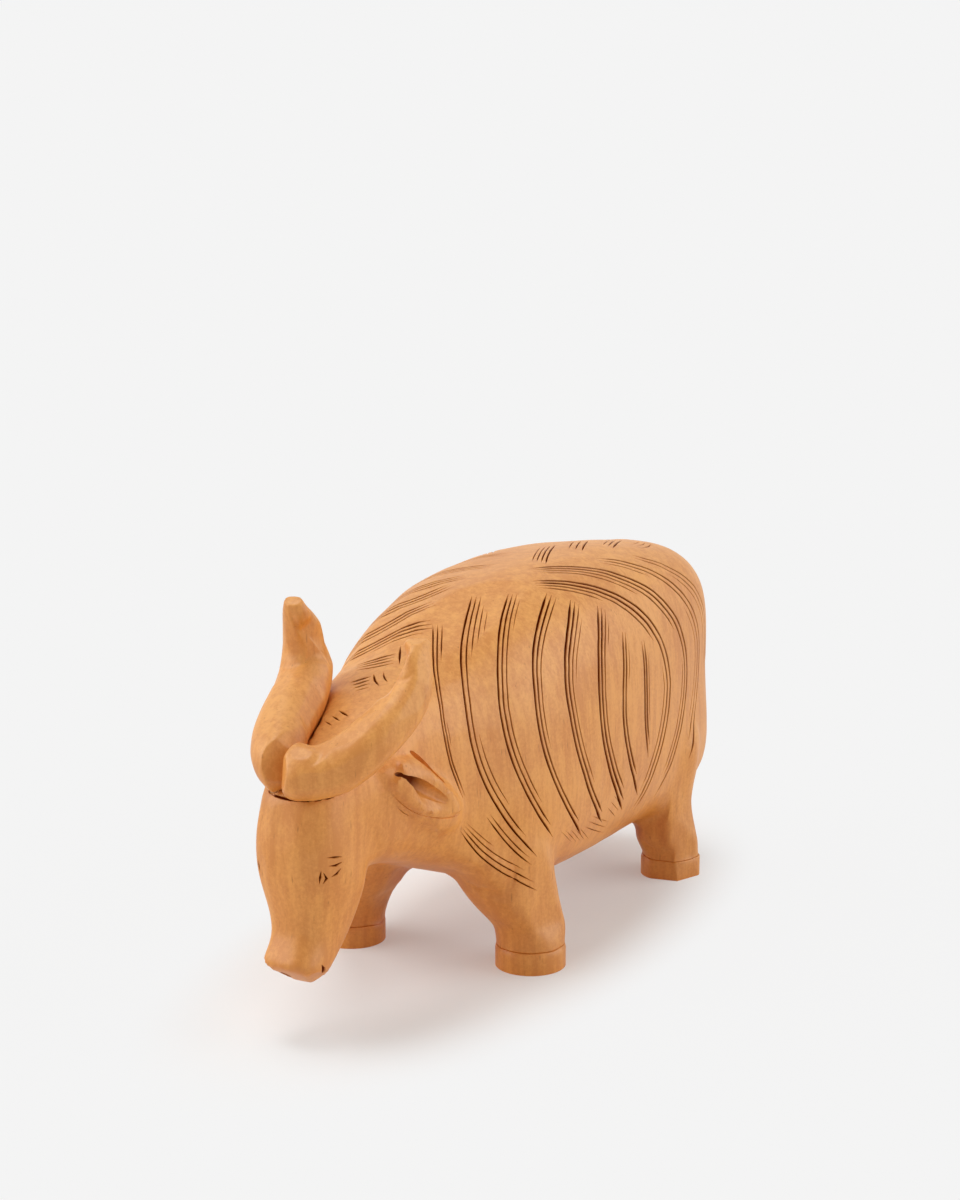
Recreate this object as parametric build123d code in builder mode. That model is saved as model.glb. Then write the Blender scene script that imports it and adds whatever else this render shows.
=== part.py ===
"""Hand-carved wooden cow figurine, grazing, with two separately carved horns.

The cow faces -Y and stands on the XY plane. +X is the cow's left side and +Z is up.
The origin is the middle of the overall length, on the surface that the hooves stand on.
A reach is measured forward from the rump, and a setback back from the brow.
"""

import os

from build123d import *

# Body from the rump to the brow, and its barrel, which ends at the shoulder
BODY_LENGTH = 241.0
HORN_LEAD = 3.9
BARREL_WIDTH = 88.0
BACK_HEIGHT = 124.0
BELLY_HEIGHT = 17.5

# Neck and head, which hangs from the poll to the muzzle
FOREPART_LENGTH = 91.0
POLL_HEIGHT = 92.0
MUZZLE_HEIGHT = 18.0
HEAD_WIDTH = 34.0

# Legs and hooves
FORE_STANCE = 65.4
HIND_STANCE = 68.4
SHOULDER_SETBACK = 4.0
HIND_LEG_REACH = 34.6
FORE_STEP = 3.5
FORE_HOOF_DIAMETER = 23.6
HIND_HOOF_DIAMETER = 21.6
HOOF_TAPER = 1.0
HOOF_HEIGHT = 9.5
ANKLE_LEDGE = 0.5
LEG_HEIGHT = 76.0
LEG_TURN = 16.0

# Ears, carved out of the sides of the neck
EAR_LENGTH = 38.0
EAR_WIDTH = 16.0
EAR_THICKNESS = 11.0
EAR_SPAN = 39.0
EAR_SETBACK = 31.5
EAR_DROP = 11.0
EAR_DROOP = 35.0
EAR_SPLAY = 13.0

# Flat seat for the horns, let into the poll
SEAT_SETBACK = 7.3
SEAT_DROP = 11.5
SEAT_TILT = 12.0
SEAT_WALL = 8.0

# Horns
HORN_THICKNESS = 17.0
HORN_BED = 2.0
LEFT_HORN_NOTCH = 1.6
RIGHT_HORN_NOTCH = 5.0
LEFT_HORN_SPREAD = 26.5
LEFT_HORN_SWEEP = 34.0
LEFT_HORN_RISE = 34.5
RIGHT_HORN_SPREAD = 19.5
RIGHT_HORN_SWEEP = 40.0
RIGHT_HORN_RISE = 44.5
HORN_CLEARANCE = 0.3

# Dowels that pin the horns to the poll
DOWEL_DIAMETER = 5.0
DOWEL_LENGTH = 20.0
DOWEL_DEPTH = 12.0
DOWEL_OFFSET = 6.5
GLUE_GAP = 0.1

# Main lines cut into the coat
STRIPE_WIDTH = 1.4
STRIPE_DEPTH = 0.8

# Cuts run this far past what they cut
OVERRUN = 60.0

# Barrel stations: along from the rump, half width, top, bottom, upper and lower squareness
BARREL_STATION_SHARES = (
    (0.000, 0.460, 0.820, 0.280, 0.93, 0.88),
    (0.012, 0.680, 0.887, 0.150, 0.92, 0.92),
    (0.060, 0.805, 0.934, 0.070, 0.91, 0.93),
    (0.160, 0.900, 0.965, 0.025, 0.89, 0.90),
    (0.340, 0.970, 0.998, 0.000, 0.84, 0.82),
    (0.560, 1.000, 1.009, 0.000, 0.82, 0.79),
    (0.760, 0.985, 0.998, 0.020, 0.79, 0.82),
    (0.890, 0.945, 0.977, 0.055, 0.73, 0.87),
    (1.000, 0.875, 0.942, 0.110, 0.71, 0.91),
)
# Neck and head stations: underside along and up, crest along and up, half width, squareness as above
FORE_STATION_SHARES = (
    (0.280, 0.284, 0.225, 1.240, 1.718, 0.73, 0.89),
    (0.489, 0.378, 0.511, 1.130, 1.341, 0.79, 0.82),
    (0.621, 0.412, 0.775, 0.993, 1.135, 0.74, 0.78),
    (0.654, 0.412, 0.923, 0.899, 0.959, 0.72, 0.78),
    (0.670, 0.378, 1.000, 0.676, 0.941, 0.72, 0.78),
    (0.687, 0.311, 1.001, 0.486, 0.865, 0.72, 0.78),
    (0.725, 0.182, 0.976, 0.331, 0.682, 0.72, 0.78),
    (0.779, 0.101, 0.979, 0.211, 0.590, 0.74, 0.78),
    (0.838, 0.046, 1.018, 0.138, 0.590, 0.78, 0.74),
    (0.893, -0.006, 1.004, 0.085, 0.480, 0.78, 0.64),
)
# Half of a body section, from its crest to its underside: half width, height
SECTION_SIDE_SHARE = 0.50
SECTION_UPPER_SHARE = 0.885
SECTION_LOWER_SHARE = 0.115
# Leg stations: height, then lean, reach, half width and half depth in hoof diameters, then turn
FORE_LEG_SHARES = (
    (0.000, 0.000, 0.000, 0.490, 0.490, 0.0),
    (0.173, 0.170, 0.070, 0.545, 0.590, 0.3),
    (0.293, 0.300, 0.150, 0.620, 0.690, 0.6),
    (0.444, 0.410, 0.320, 0.660, 0.870, 0.9),
    (0.549, 0.500, 0.520, 0.660, 1.080, 1.0),
    (0.759, 0.700, 0.480, 0.600, 1.000, 1.0),
    (1.000, 0.850, 0.400, 0.460, 0.760, 1.0),
)
HIND_LEG_SHARES = (
    (0.000, 0.000, 0.000, 0.480, 0.480, 0.0),
    (0.173, 0.110, 0.080, 0.460, 0.530, 0.0),
    (0.293, 0.170, 0.130, 0.480, 0.630, 0.0),
    (0.444, 0.230, 0.200, 0.590, 0.850, 0.0),
    (0.549, 0.270, 0.200, 0.670, 0.950, 0.0),
    (0.759, 0.450, 0.240, 0.680, 1.040, 0.0),
    (1.000, 0.600, 0.240, 0.600, 0.900, 0.0),
)
LEG_SQUARE_SHARE = 0.75
# Ear stations: along from the root, half thickness, half width
EAR_STATION_SHARES = (
    (0.00, 0.34, 0.34),
    (0.28, 0.46, 0.50),
    (0.62, 0.44, 0.50),
    (0.88, 0.28, 0.38),
    (1.00, 0.12, 0.16),
)
EAR_HOLLOW_SHARES = (
    (0.16, 0.08, 0.10),
    (0.30, 0.26, 0.24),
    (0.56, 0.18, 0.22),
    (0.82, 0.05, 0.08),
)
EAR_HOLLOW_OFFSET_SHARE = 0.46
# Horn stations: spread, sweep, rise, thickness
LEFT_HORN_SHARES = (
    (0.00, 0.00, 0.000, 1.00),
    (0.26, -0.02, 0.00, 1.00),
    (0.47, 0.11, 0.040, 0.98),
    (0.77, 0.32, 0.245, 0.92),
    (0.94, 0.56, 0.450, 0.85),
    (1.00, 0.79, 0.740, 0.72),
    (0.91, 1.00, 1.000, 0.50),
)
RIGHT_HORN_SHARES = (
    (0.00, 0.00, 0.000, 1.00),
    (0.33, 0.07, 0.050, 1.00),
    (0.67, 0.41, 0.190, 1.02),
    (0.87, 0.80, 0.340, 1.02),
    (1.00, 0.98, 0.545, 0.94),
    (1.00, 0.90, 0.780, 0.68),
    (0.95, 0.76, 1.000, 0.34),
)
# Stripe points, as seen from halfway between the side and above: along from the rump, down from the spine
LEFT_STRIPE_SHARES = (
    ((1.02, 0.07), (1.175, 0.235), (1.23, 0.345), (1.215, 0.50)),
    ((0.885, 0.045), (0.995, 0.125), (1.125, 0.255), (1.17, 0.41), (1.095, 0.68), (1.01, 0.82)),
    ((0.835, 0.11), (0.965, 0.195), (1.075, 0.38), (1.055, 0.605), (0.945, 0.795)),
    ((0.77, 0.185), (0.87, 0.25), (0.96, 0.35), (0.99, 0.525), (0.89, 0.765), (0.805, 0.825)),
    ((0.73, 0.245), (0.83, 0.35), (0.875, 0.45), (0.865, 0.61), (0.795, 0.76), (0.705, 0.825)),
    ((0.66, 0.30), (0.735, 0.43), (0.75, 0.585), (0.695, 0.75), (0.595, 0.825)),
    ((0.605, 0.40), (0.635, 0.525), (0.645, 0.61), (0.61, 0.725), (0.525, 0.815)),
    ((0.525, 0.45), (0.525, 0.65), (0.50, 0.745)),
    ((0.755, 0.12), (0.545, 0.30), (0.43, 0.415), (0.355, 0.585), (0.385, 0.685), (0.51, 0.845)),
    ((0.69, 0.07), (0.455, 0.265), (0.34, 0.36), (0.235, 0.565), (0.305, 0.73), (0.405, 0.84)),
)
RIGHT_STRIPE_SHARES = (
    ((1.01, 0.055), (1.10, 0.235), (1.115, 0.44), (1.07, 0.665)),
    ((0.925, 0.08), (1.025, 0.215), (1.035, 0.465), (0.975, 0.725)),
    ((0.83, 0.075), (0.925, 0.195), (0.935, 0.465), (0.855, 0.745)),
    ((0.76, 0.065), (0.825, 0.175), (0.835, 0.46), (0.765, 0.765)),
    ((0.66, 0.035), (0.705, 0.215), (0.73, 0.485), (0.67, 0.765)),
    ((0.515, 0.07), (0.55, 0.23), (0.61, 0.51), (0.565, 0.755)),
    ((0.48, 0.27), (0.34, 0.36), (0.235, 0.565), (0.305, 0.73), (0.405, 0.84)),
)
PAIRED_STRIPE_SHARES = (
    ((0.48, 0.145), (0.255, 0.34), (0.165, 0.44), (0.145, 0.56), (0.175, 0.66), (0.255, 0.785)),
    ((0.34, 0.185), (0.15, 0.35), (0.09, 0.445), (0.085, 0.54), (0.105, 0.64)),
    ((1.165, 0.68), (1.15, 0.72), (1.07, 0.835), (1.005, 0.90)),
)
STRIPE_FOOT_SHARE = 0.43

barrel_length = BODY_LENGTH - FOREPART_LENGTH
rump_y = (BODY_LENGTH + HORN_LEAD) / 2
shoulder_y = rump_y - barrel_length
brow_y = shoulder_y - FOREPART_LENGTH
head_length = POLL_HEIGHT - MUZZLE_HEIGHT
seat_height = POLL_HEIGHT - SEAT_DROP
seat = Plane(origin=(0, brow_y + SEAT_SETBACK, seat_height)).rotated((SEAT_TILT, 0, 0))
# How far the stripes reach down from the spine, seen from halfway between the side and above
stripe_drop = (BARREL_WIDTH / 2 + BACK_HEIGHT - BELLY_HEIGHT) / 2**0.5


def body_section(underside, crest, half_width, upper_square, lower_square, inset):
    """A closed section of the body between two points of its middle plane, drawn in by an inset."""
    up = Vector(0, crest[0] - underside[0], crest[1] - underside[1])
    across = Vector(1, 0, 0)
    side = half_width - inset
    top = up.length - inset
    height = top - inset
    left = [
        (upper_square * side, inset + SECTION_UPPER_SHARE * height),
        (side, inset + SECTION_SIDE_SHARE * height),
        (lower_square * side, inset + SECTION_LOWER_SHARE * height),
    ]
    right = [(-x, y) for x, y in reversed(left)]
    plane = Plane(origin=(0, *underside), x_dir=across, z_dir=across.cross(up))
    with BuildSketch(plane) as section:
        with BuildLine():
            Spline((0, top), *left, (0, inset), *right, periodic=True)
        make_face()
    return section.sketch


def barrel_sections(inset):
    """Upright sections from the rump to the shoulder."""
    made = []
    for along, width, top, bottom, *squares in BARREL_STATION_SHARES:
        y = rump_y - along * barrel_length
        low = BELLY_HEIGHT + bottom * (BACK_HEIGHT - BELLY_HEIGHT)
        half_width = width * BARREL_WIDTH / 2
        made.append(body_section((y, low), (y, top * BACK_HEIGHT), half_width, *squares, inset))
    return made


def fore_sections(inset):
    """Sections that fan round the throat, from the shoulder to the end of the muzzle."""
    made = []
    for under_along, under_up, crest_along, crest_up, width, *squares in FORE_STATION_SHARES:
        under_y = shoulder_y - under_along * FOREPART_LENGTH
        crest_y = shoulder_y - crest_along * FOREPART_LENGTH
        underside = (under_y, MUZZLE_HEIGHT + under_up * head_length)
        crest = (crest_y, MUZZLE_HEIGHT + crest_up * head_length)
        made.append(body_section(underside, crest, width * HEAD_WIDTH / 2, *squares, inset))
    return made


def oval(plane, half_x, half_y):
    """An oval section on a plane."""
    with BuildSketch(plane) as section:
        Ellipse(half_x, half_y)
    return section.sketch


def leg_section(plane, half_x, half_y):
    """A section of a leg, a little squarer than an oval."""
    corner_x = LEG_SQUARE_SHARE * half_x
    corner_y = LEG_SQUARE_SHARE * half_y
    front = [(half_x, 0), (corner_x, corner_y), (0, half_y), (-corner_x, corner_y)]
    back = [(-x, -y) for x, y in front]
    with BuildSketch(plane) as section:
        with BuildLine():
            Spline(*front, *back, periodic=True)
        make_face()
    return section.sketch


def fore_foot(side):
    """The side, place and diameter of a fore hoof."""
    return side, FORE_STANCE / 2, shoulder_y + SHOULDER_SETBACK + side * FORE_STEP, FORE_HOOF_DIAMETER


def hind_foot(side):
    """The side, place and diameter of a hind hoof."""
    return side, HIND_STANCE / 2, rump_y - HIND_LEG_REACH, HIND_HOOF_DIAMETER


def leg_sections(side, x, y, hoof, shares, inset):
    """Level sections from the ankle up into the body, drawn in by an inset."""
    made = []
    for up, lean, reach, half_width, half_depth, turn in shares:
        z = HOOF_HEIGHT + up * (LEG_HEIGHT - HOOF_HEIGHT)
        level = Plane(origin=(side * (x - lean * hoof), y - reach * hoof, z))
        level = level.rotated((0, 0, -side * turn * LEG_TURN))
        made.append(leg_section(level, half_width * hoof - inset, half_depth * hoof - inset))
    return made


def hoof_sections(side, x, y, hoof):
    """Level circles of the hoof, from its sole to the ledge under the ankle."""
    sole = hoof / 2
    top = sole - HOOF_TAPER / 2 - ANKLE_LEDGE / 2
    return [oval(Plane(origin=(side * x, y, z)), r, r) for z, r in ((0, sole), (HOOF_HEIGHT, top))]


def ear_sections(side, shares, outward):
    """Ovals along an ear, or along its hollow when moved outward."""
    root = Vector(side * EAR_SPAN / 2, brow_y + EAR_SETBACK, POLL_HEIGHT - EAR_DROP)
    back = Vector(0, 1, 0).rotate(Axis.X, -EAR_DROOP).rotate(Axis.Z, -side * EAR_SPLAY)
    out = Vector(side, 0, 0).rotate(Axis.Z, -side * EAR_SPLAY)
    made = []
    for along, half_thickness, half_width in shares:
        centre = root + back * (along * EAR_LENGTH) + out * outward
        plane = Plane(origin=centre, x_dir=out, z_dir=back)
        made.append(oval(plane, half_thickness * EAR_THICKNESS, half_width * EAR_WIDTH))
    return made


def horn_sections(side, spread, sweep, rise, shares, clearance):
    """Round sections along a horn, from its butt on the middle plane out, back and up to its tip."""
    butt = Vector(*seat.from_local_coords((0, 0, HORN_THICKNESS / 2 - HORN_BED)))
    points = [butt + Vector(side * out * spread, back * sweep, up * rise) for out, back, up, _ in shares]
    path = Spline(*points)
    made = []
    for point, (_, _, _, thickness) in zip(points, shares):
        half = thickness * HORN_THICKNESS / 2 + clearance
        along = path % path.param_at_point(point) if point != points[0] else Vector(side, 0, 0)
        made.append(oval(Plane(origin=point, x_dir=along.cross(Vector(0, -1, 1)), z_dir=along), half, half))
    return made


def dowel_plane(side, facing):
    """Where a dowel crosses the seat, with Z along the dowel."""
    centre = Vector(*seat.from_local_coords((side * DOWEL_OFFSET, 0, 0)))
    return Plane(origin=centre, x_dir=seat.x_dir, z_dir=seat.z_dir * facing)


left_horn_shape = (1, LEFT_HORN_SPREAD, LEFT_HORN_SWEEP, LEFT_HORN_RISE, LEFT_HORN_SHARES)
right_horn_shape = (-1, RIGHT_HORN_SPREAD, RIGHT_HORN_SWEEP, RIGHT_HORN_RISE, RIGHT_HORN_SHARES)

with BuildPart() as left_horn:
    loft(sections=horn_sections(*left_horn_shape, 0))
    chamfer(left_horn.faces().filter_by(Axis.X).sort_by(Axis.X)[0].edges(), LEFT_HORN_NOTCH)
    split(bisect_by=seat, keep=Keep.TOP)
    with Locations(dowel_plane(1, -1).location):
        Hole(DOWEL_DIAMETER / 2 + GLUE_GAP, DOWEL_LENGTH - DOWEL_DEPTH + GLUE_GAP)

with BuildPart() as right_horn:
    loft(sections=horn_sections(*right_horn_shape, 0))
    chamfer(right_horn.faces().filter_by(Axis.X).sort_by(Axis.X)[-1].edges(), RIGHT_HORN_NOTCH)
    split(bisect_by=seat, keep=Keep.TOP)
    with Locations(dowel_plane(-1, -1).location):
        Hole(DOWEL_DIAMETER / 2 + GLUE_GAP, DOWEL_LENGTH - DOWEL_DEPTH + GLUE_GAP)

# The room that the horns take out of the poll, down to the seat
with BuildPart() as horn_room:
    loft(sections=horn_sections(*left_horn_shape, HORN_CLEARANCE))
    loft(sections=horn_sections(*right_horn_shape, HORN_CLEARANCE))
    with BuildSketch(Plane.YZ.offset(-OVERRUN)):
        with BuildLine():
            wall_foot = Vector(*seat.from_local_coords((0, SEAT_WALL, 0)))
            front_foot = Vector(*seat.from_local_coords((0, -OVERRUN, 0)))
            top = seat_height + OVERRUN
            Polyline(
                (wall_foot.Y, wall_foot.Z),
                (wall_foot.Y, top),
                (front_foot.Y, top),
                (front_foot.Y, front_foot.Z),
                close=True,
            )
        make_face()
    extrude(amount=OVERRUN + OVERRUN)
    split(bisect_by=seat, keep=Keep.TOP)

# The wood under the stripes, which their cuts stop at
with BuildPart() as core:
    loft(sections=barrel_sections(STRIPE_DEPTH) + fore_sections(STRIPE_DEPTH))
    for side in (1, -1):
        loft(sections=leg_sections(*fore_foot(side), FORE_LEG_SHARES, STRIPE_DEPTH))
        loft(sections=leg_sections(*hind_foot(side), HIND_LEG_SHARES, STRIPE_DEPTH))

# Bent plates that cut the stripes, down to the core
with BuildPart() as stripes:
    for side, rows in ((1, LEFT_STRIPE_SHARES), (-1, RIGHT_STRIPE_SHARES)):
        view = Plane(origin=(0, rump_y, BACK_HEIGHT), x_dir=(0, -1, 0), z_dir=(side, 0, 1))
        foot = STRIPE_FOOT_SHARE * stripe_drop
        with BuildSketch(view.offset(-foot)):
            for row in rows + PAIRED_STRIPE_SHARES:
                with BuildLine() as stripe:
                    Spline(*[(along * barrel_length, side * down * stripe_drop) for along, down in row])
                trace(stripe.line, line_width=STRIPE_WIDTH)
        extrude(amount=foot + OVERRUN)
    add(core.part, mode=Mode.SUBTRACT)

with BuildPart() as body:
    loft(sections=barrel_sections(0) + fore_sections(0))
    for side in (1, -1):
        loft(sections=hoof_sections(*fore_foot(side)))
        loft(sections=leg_sections(*fore_foot(side), FORE_LEG_SHARES, 0))
        loft(sections=hoof_sections(*hind_foot(side)))
        loft(sections=leg_sections(*hind_foot(side), HIND_LEG_SHARES, 0))
        loft(sections=ear_sections(side, EAR_STATION_SHARES, 0))
        hollow_offset = EAR_HOLLOW_OFFSET_SHARE * EAR_THICKNESS
        loft(sections=ear_sections(side, EAR_HOLLOW_SHARES, hollow_offset), mode=Mode.SUBTRACT)
    add(stripes.part, mode=Mode.SUBTRACT)
    add(horn_room.part, mode=Mode.SUBTRACT)
    with Locations(dowel_plane(1, 1).location, dowel_plane(-1, 1).location):
        Hole(DOWEL_DIAMETER / 2 + GLUE_GAP, DOWEL_DEPTH + GLUE_GAP)

with BuildPart(dowel_plane(1, 1).offset(-DOWEL_DEPTH)) as left_horn_dowel:
    Cylinder(DOWEL_DIAMETER / 2, DOWEL_LENGTH, align=(Align.CENTER, Align.CENTER, Align.MIN))

with BuildPart(dowel_plane(-1, 1).offset(-DOWEL_DEPTH)) as right_horn_dowel:
    Cylinder(DOWEL_DIAMETER / 2, DOWEL_LENGTH, align=(Align.CENTER, Align.CENTER, Align.MIN))

body.part.label = "body"
left_horn.part.label = "left_horn"
right_horn.part.label = "right_horn"
left_horn_dowel.part.label = "left_horn_dowel"
right_horn_dowel.part.label = "right_horn_dowel"

os.makedirs("parts", exist_ok=True)
export_step(body.part, "parts/body.step")
export_step(left_horn.part, "parts/left_horn.step")
export_step(right_horn.part, "parts/right_horn.step")
export_step(left_horn_dowel.part, "parts/left_horn_dowel.step")
export_step(right_horn_dowel.part, "parts/right_horn_dowel.step")
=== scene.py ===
"""Looks of a hand-carved wooden cow figurine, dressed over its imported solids.

The cow faces -Y, +X is its left side and +Z is up. Blender works in metres, and the sizes and
points below are written in millimetres, as the carver would lay them out.
"""

import logging
import math
from dataclasses import dataclass, field
from enum import Enum

import bmesh
import bpy
import numpy as np
from bpy.types import Material, Mesh, Node, NodeSocket, NodeTree, Object, Scene
from mathutils import Matrix, Vector
from mathutils.bvhtree import BVHTree
from mathutils.kdtree import KDTree


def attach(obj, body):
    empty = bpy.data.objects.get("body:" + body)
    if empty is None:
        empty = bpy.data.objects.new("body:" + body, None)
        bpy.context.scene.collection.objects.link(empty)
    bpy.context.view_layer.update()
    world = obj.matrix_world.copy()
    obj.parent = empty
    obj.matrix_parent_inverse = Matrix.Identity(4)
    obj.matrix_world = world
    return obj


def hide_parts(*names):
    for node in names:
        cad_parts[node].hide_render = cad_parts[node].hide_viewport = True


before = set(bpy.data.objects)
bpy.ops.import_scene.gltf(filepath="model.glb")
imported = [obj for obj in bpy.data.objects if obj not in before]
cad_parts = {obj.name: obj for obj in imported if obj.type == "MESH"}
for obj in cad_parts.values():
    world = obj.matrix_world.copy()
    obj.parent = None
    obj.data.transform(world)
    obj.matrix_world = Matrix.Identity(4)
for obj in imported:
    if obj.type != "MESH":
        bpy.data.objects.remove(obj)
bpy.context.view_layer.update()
ROOT = "root"
MM = 0.001
LOG = logging.getLogger("cow_figurine")

Point = tuple[float, float, float]
Colour = tuple[float, float, float, float]
Span = tuple[float, float]
Stroke = tuple[float, float, float, float]


class Side(Enum):
    """Which sides of the cow a set of cuts is on."""

    LEFT = (1,)
    RIGHT = (-1,)
    BOTH = (1, -1)


class Pass(Enum):
    """The round of carving that a set of cuts belongs to.

    The first round gives shape alone; later rounds get the dark cut colour, partly stain and partly
    painted shade. Crossing cuts can't share a round.
    """

    SHAPE = 0
    FIRST = 1
    SECOND = 2


@dataclass(frozen=True)
class CutGroup:
    """A group of lines cut side by side with a V-tool.

    The lead line is given as points in millimetres near the surface. The others lie beside it,
    one pitch apart, which is given at the start and from the middle on. Each stroke is a line
    number, where it starts and ends along the lead line, and how deep it is.
    """

    lead: tuple[Point, ...]
    strokes: tuple[Stroke, ...]
    pitch: Span = (3.3, 3.3)
    side: Side = Side.LEFT
    carved: Pass = Pass.FIRST


LATER_START = 0.03
EARLIER_END = 0.05
SHALLOWER = 0.12


def plain(count: int, deep: float = 1.0) -> tuple[Stroke, ...]:
    """Strokes of a short group, each a little shorter and shallower than the one before.

    Args:
        count: How many lines the group has.
        deep: Depth of its first line.

    Returns:
        The strokes, in order.
    """
    return tuple(
        (i, LATER_START * i, 1 - EARLIER_END * i, deep * (1 - SHALLOWER * i)) for i in range(count)
    )


FLANK_CUTS = (
    CutGroup(
        (
            (2, -31, 115), (8, -41, 112), (15, -54, 104), (21, -62, 93), (24.5, -61.5, 81),
            (28, -57, 67),
        ),
        ((0, 0, 1, 0.85), (1, 0, 1, 0.77), (2, 0, 0.3, 0.68), (2, 0.62, 0.75, 0.42)),
        pitch=(1.5, 1.1),
    ),
    CutGroup(
        (
            (5, -10, 122), (11.5, -27, 117), (19.5, -46, 105), (26, -53, 88), (30, -50, 71.5),
            (34, -42, 56), (40.5, -29, 41),
        ),
        (
            (0, 0, 1, 1.02), (1, 0, 0.93, 0.77), (2, 0, 0.3, 0.68), (3, 0.03, 0.26, 0.59),
            (4, 0.07, 0.2, 0.42), (2, 0.55, 0.82, 0.59),
        ),
        pitch=(1.5, 2),
    ),
    CutGroup(
        (
            (15, -3, 122.5), (21.5, -22, 116), (30, -39, 97), (33, -39.5, 83), (36, -36, 69),
            (39, -29, 55), (40.5, -19, 45),
        ),
        ((0, 0, 1, 1.02), (1, 0, 0.97, 0.85), (2, 0, 0.87, 0.68), (3, 0.02, 0.2, 0.42)),
        pitch=(1.4, 1.8),
    ),
    CutGroup(
        (
            (24.5, 7, 121), (29.5, -8, 115.5), (34, -21.5, 105), (38, -26, 83), (40.5, -21.5, 66),
            (41.5, -11, 50.5), (40, 2, 40),
        ),
        ((0, 0, 1, 1.25), (1, 0, 0.93, 1), (2, 0, 0.62, 0.7)),
        pitch=(1.7, 1.8),
    ),
    CutGroup(
        (
            (30, 13, 117.5), (36.5, -2, 107.5), (39.5, -9, 96), (42, -7, 74), (42.5, 3.5, 52),
            (40.5, 17, 40),
        ),
        ((0, 0, 1, 1.43), (1, 0, 0.95, 1.21), (2, 0, 0.78, 0.77), (3, 0.03, 0.36, 0.55)),
        pitch=(1.7, 2),
    ),
    CutGroup(
        (
            (34.5, 23.5, 113.5), (40.5, 12, 100), (42.5, 9.5, 86), (43.5, 10.5, 72),
            (43.5, 18.5, 54.5), (40.5, 33, 40),
        ),
        ((0, 0, 1, 1.62), (1, 0, 0.95, 1.43), (2, 0, 0.9, 0.98), (3, 0.03, 0.17, 0.65)),
        pitch=(1.8, 2.1),
    ),
    CutGroup(
        ((40, 31.5, 103.5), (43, 27, 88), (44, 25.5, 76), (44, 31, 59), (41.5, 43.5, 42.5)),
        ((0, 0, 1, 1.68), (1, 0, 0.85, 1.4), (2, 0.05, 0.28, 0.7)),
        pitch=(1.9, 2.1),
    ),
    CutGroup(
        ((41.5, 44, 98), (43.5, 43.5, 84.5), (44, 43.5, 70), (43.5, 47.5, 55.5)),
        ((0, 0, 1, 1.65), (1, 0, 0.9, 1.5), (2, 0.1, 0.72, 0.75)),
        pitch=(1.8, 1.8),
        side=Side.BOTH,
    ),
)
HAUNCH_CUTS = (
    CutGroup(
        (
            (17.5, 9.5, 123.5), (27, 25.5, 120), (35, 41, 113.5), (40, 58, 101.5),
            (42.5, 69.5, 78.5), (43, 64.5, 64), (38.5, 46, 35.5),
        ),
        (
            (0, 0, 1, 1.45), (1, 0, 1, 1.45), (2, 0, 0.45, 1.01), (2, 0.55, 0.95, 1.01),
            (3, 0, 0.2, 0.87),
        ),
        pitch=(-1.5, -2.9),
    ),
    CutGroup(
        (
            (11, 19, 124.5), (23.5, 40, 122), (32, 54.5, 116), (37.5, 71.5, 107), (41, 87.5, 80),
            (42, 77, 56), (39, 62, 36.5),
        ),
        (
            (0, 0, 1, 1.45), (1, 0, 0.95, 1.3), (2, 0, 0.5, 1.01), (2, 0.6, 0.95, 0.87),
            (3, 0, 0.3, 0.87),
        ),
        pitch=(-1.6, -2.6),
    ),
    CutGroup(
        (
            (20.5, 50.5, 122.5), (29, 69, 118), (36, 84, 108.5), (38.5, 97.5, 96), (40, 101, 80),
            (41, 96, 66), (40.5, 84, 46),
        ),
        ((0, 0, 1, 1.17), (1, 0, 0.95, 1.04), (2, 0, 0.2, 0.78), (2, 0.4, 0.9, 0.65)),
        pitch=(-1.9, -2.8),
        side=Side.BOTH,
    ),
    CutGroup(
        (
            (24, 71.5, 120.5), (30, 83.5, 116), (35.5, 100, 107), (37, 109, 94), (37.5, 110, 80),
            (38, 107, 66),
        ),
        ((0, 0, 1, 0.96), (1, 0, 0.9, 0.84), (2, 0.2, 0.8, 0.6)),
        pitch=(-1.9, -2.6),
        side=Side.BOTH,
    ),
)
SHOULDER_CUTS = (
    CutGroup(
        (
            (27, -57.5, 56), (28, -52.5, 50), (30, -50, 45.5), (34, -43.5, 39), (36.5, -38, 35),
            (40.5, -28, 29),
        ),
        ((0, 0, 1, 0.81), (1, 0, 0.93, 0.72), (2, 0, 0.78, 0.59), (3, 0, 0.42, 0.45)),
        pitch=(1.1, 2.1),
        side=Side.BOTH,
    ),
    CutGroup(
        ((31.5, -48, 58.5), (33, -42.5, 51.5), (37, -35.5, 42.5), (39.5, -31, 38.5)),
        ((0, 0, 1, 0.85), (1, 0, 0.9, 0.68)),
        pitch=(1.5, 1.6),
        side=Side.BOTH,
    ),
)
BELLY_NICKS = tuple(
    CutGroup(
        ((41, -14 + 3.3 * i, 45.5 - 0.6 * i), (39.2 - 0.2 * i, -4 + 3.8 * i, 39 - 0.9 * i)),
        ((0, 0, 1, 0.32),),
        side=Side.BOTH,
        carved=Pass.SECOND,
    )
    for i in range(5)
)
BELLY_CUTS = (
    CutGroup(
        ((41, 3, 42.5), (39.5, 13.5, 38), (37.5, 24, 34)),
        plain(3, 0.5),
        (2.2, 2.2),
        Side.BOTH,
        Pass.SECOND,
    ),
    CutGroup(
        ((42, 18.5, 45), (39.5, 28.5, 39)), plain(3, 0.4), (2.4, 2.4), Side.BOTH, Pass.SECOND
    ),
)
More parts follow.
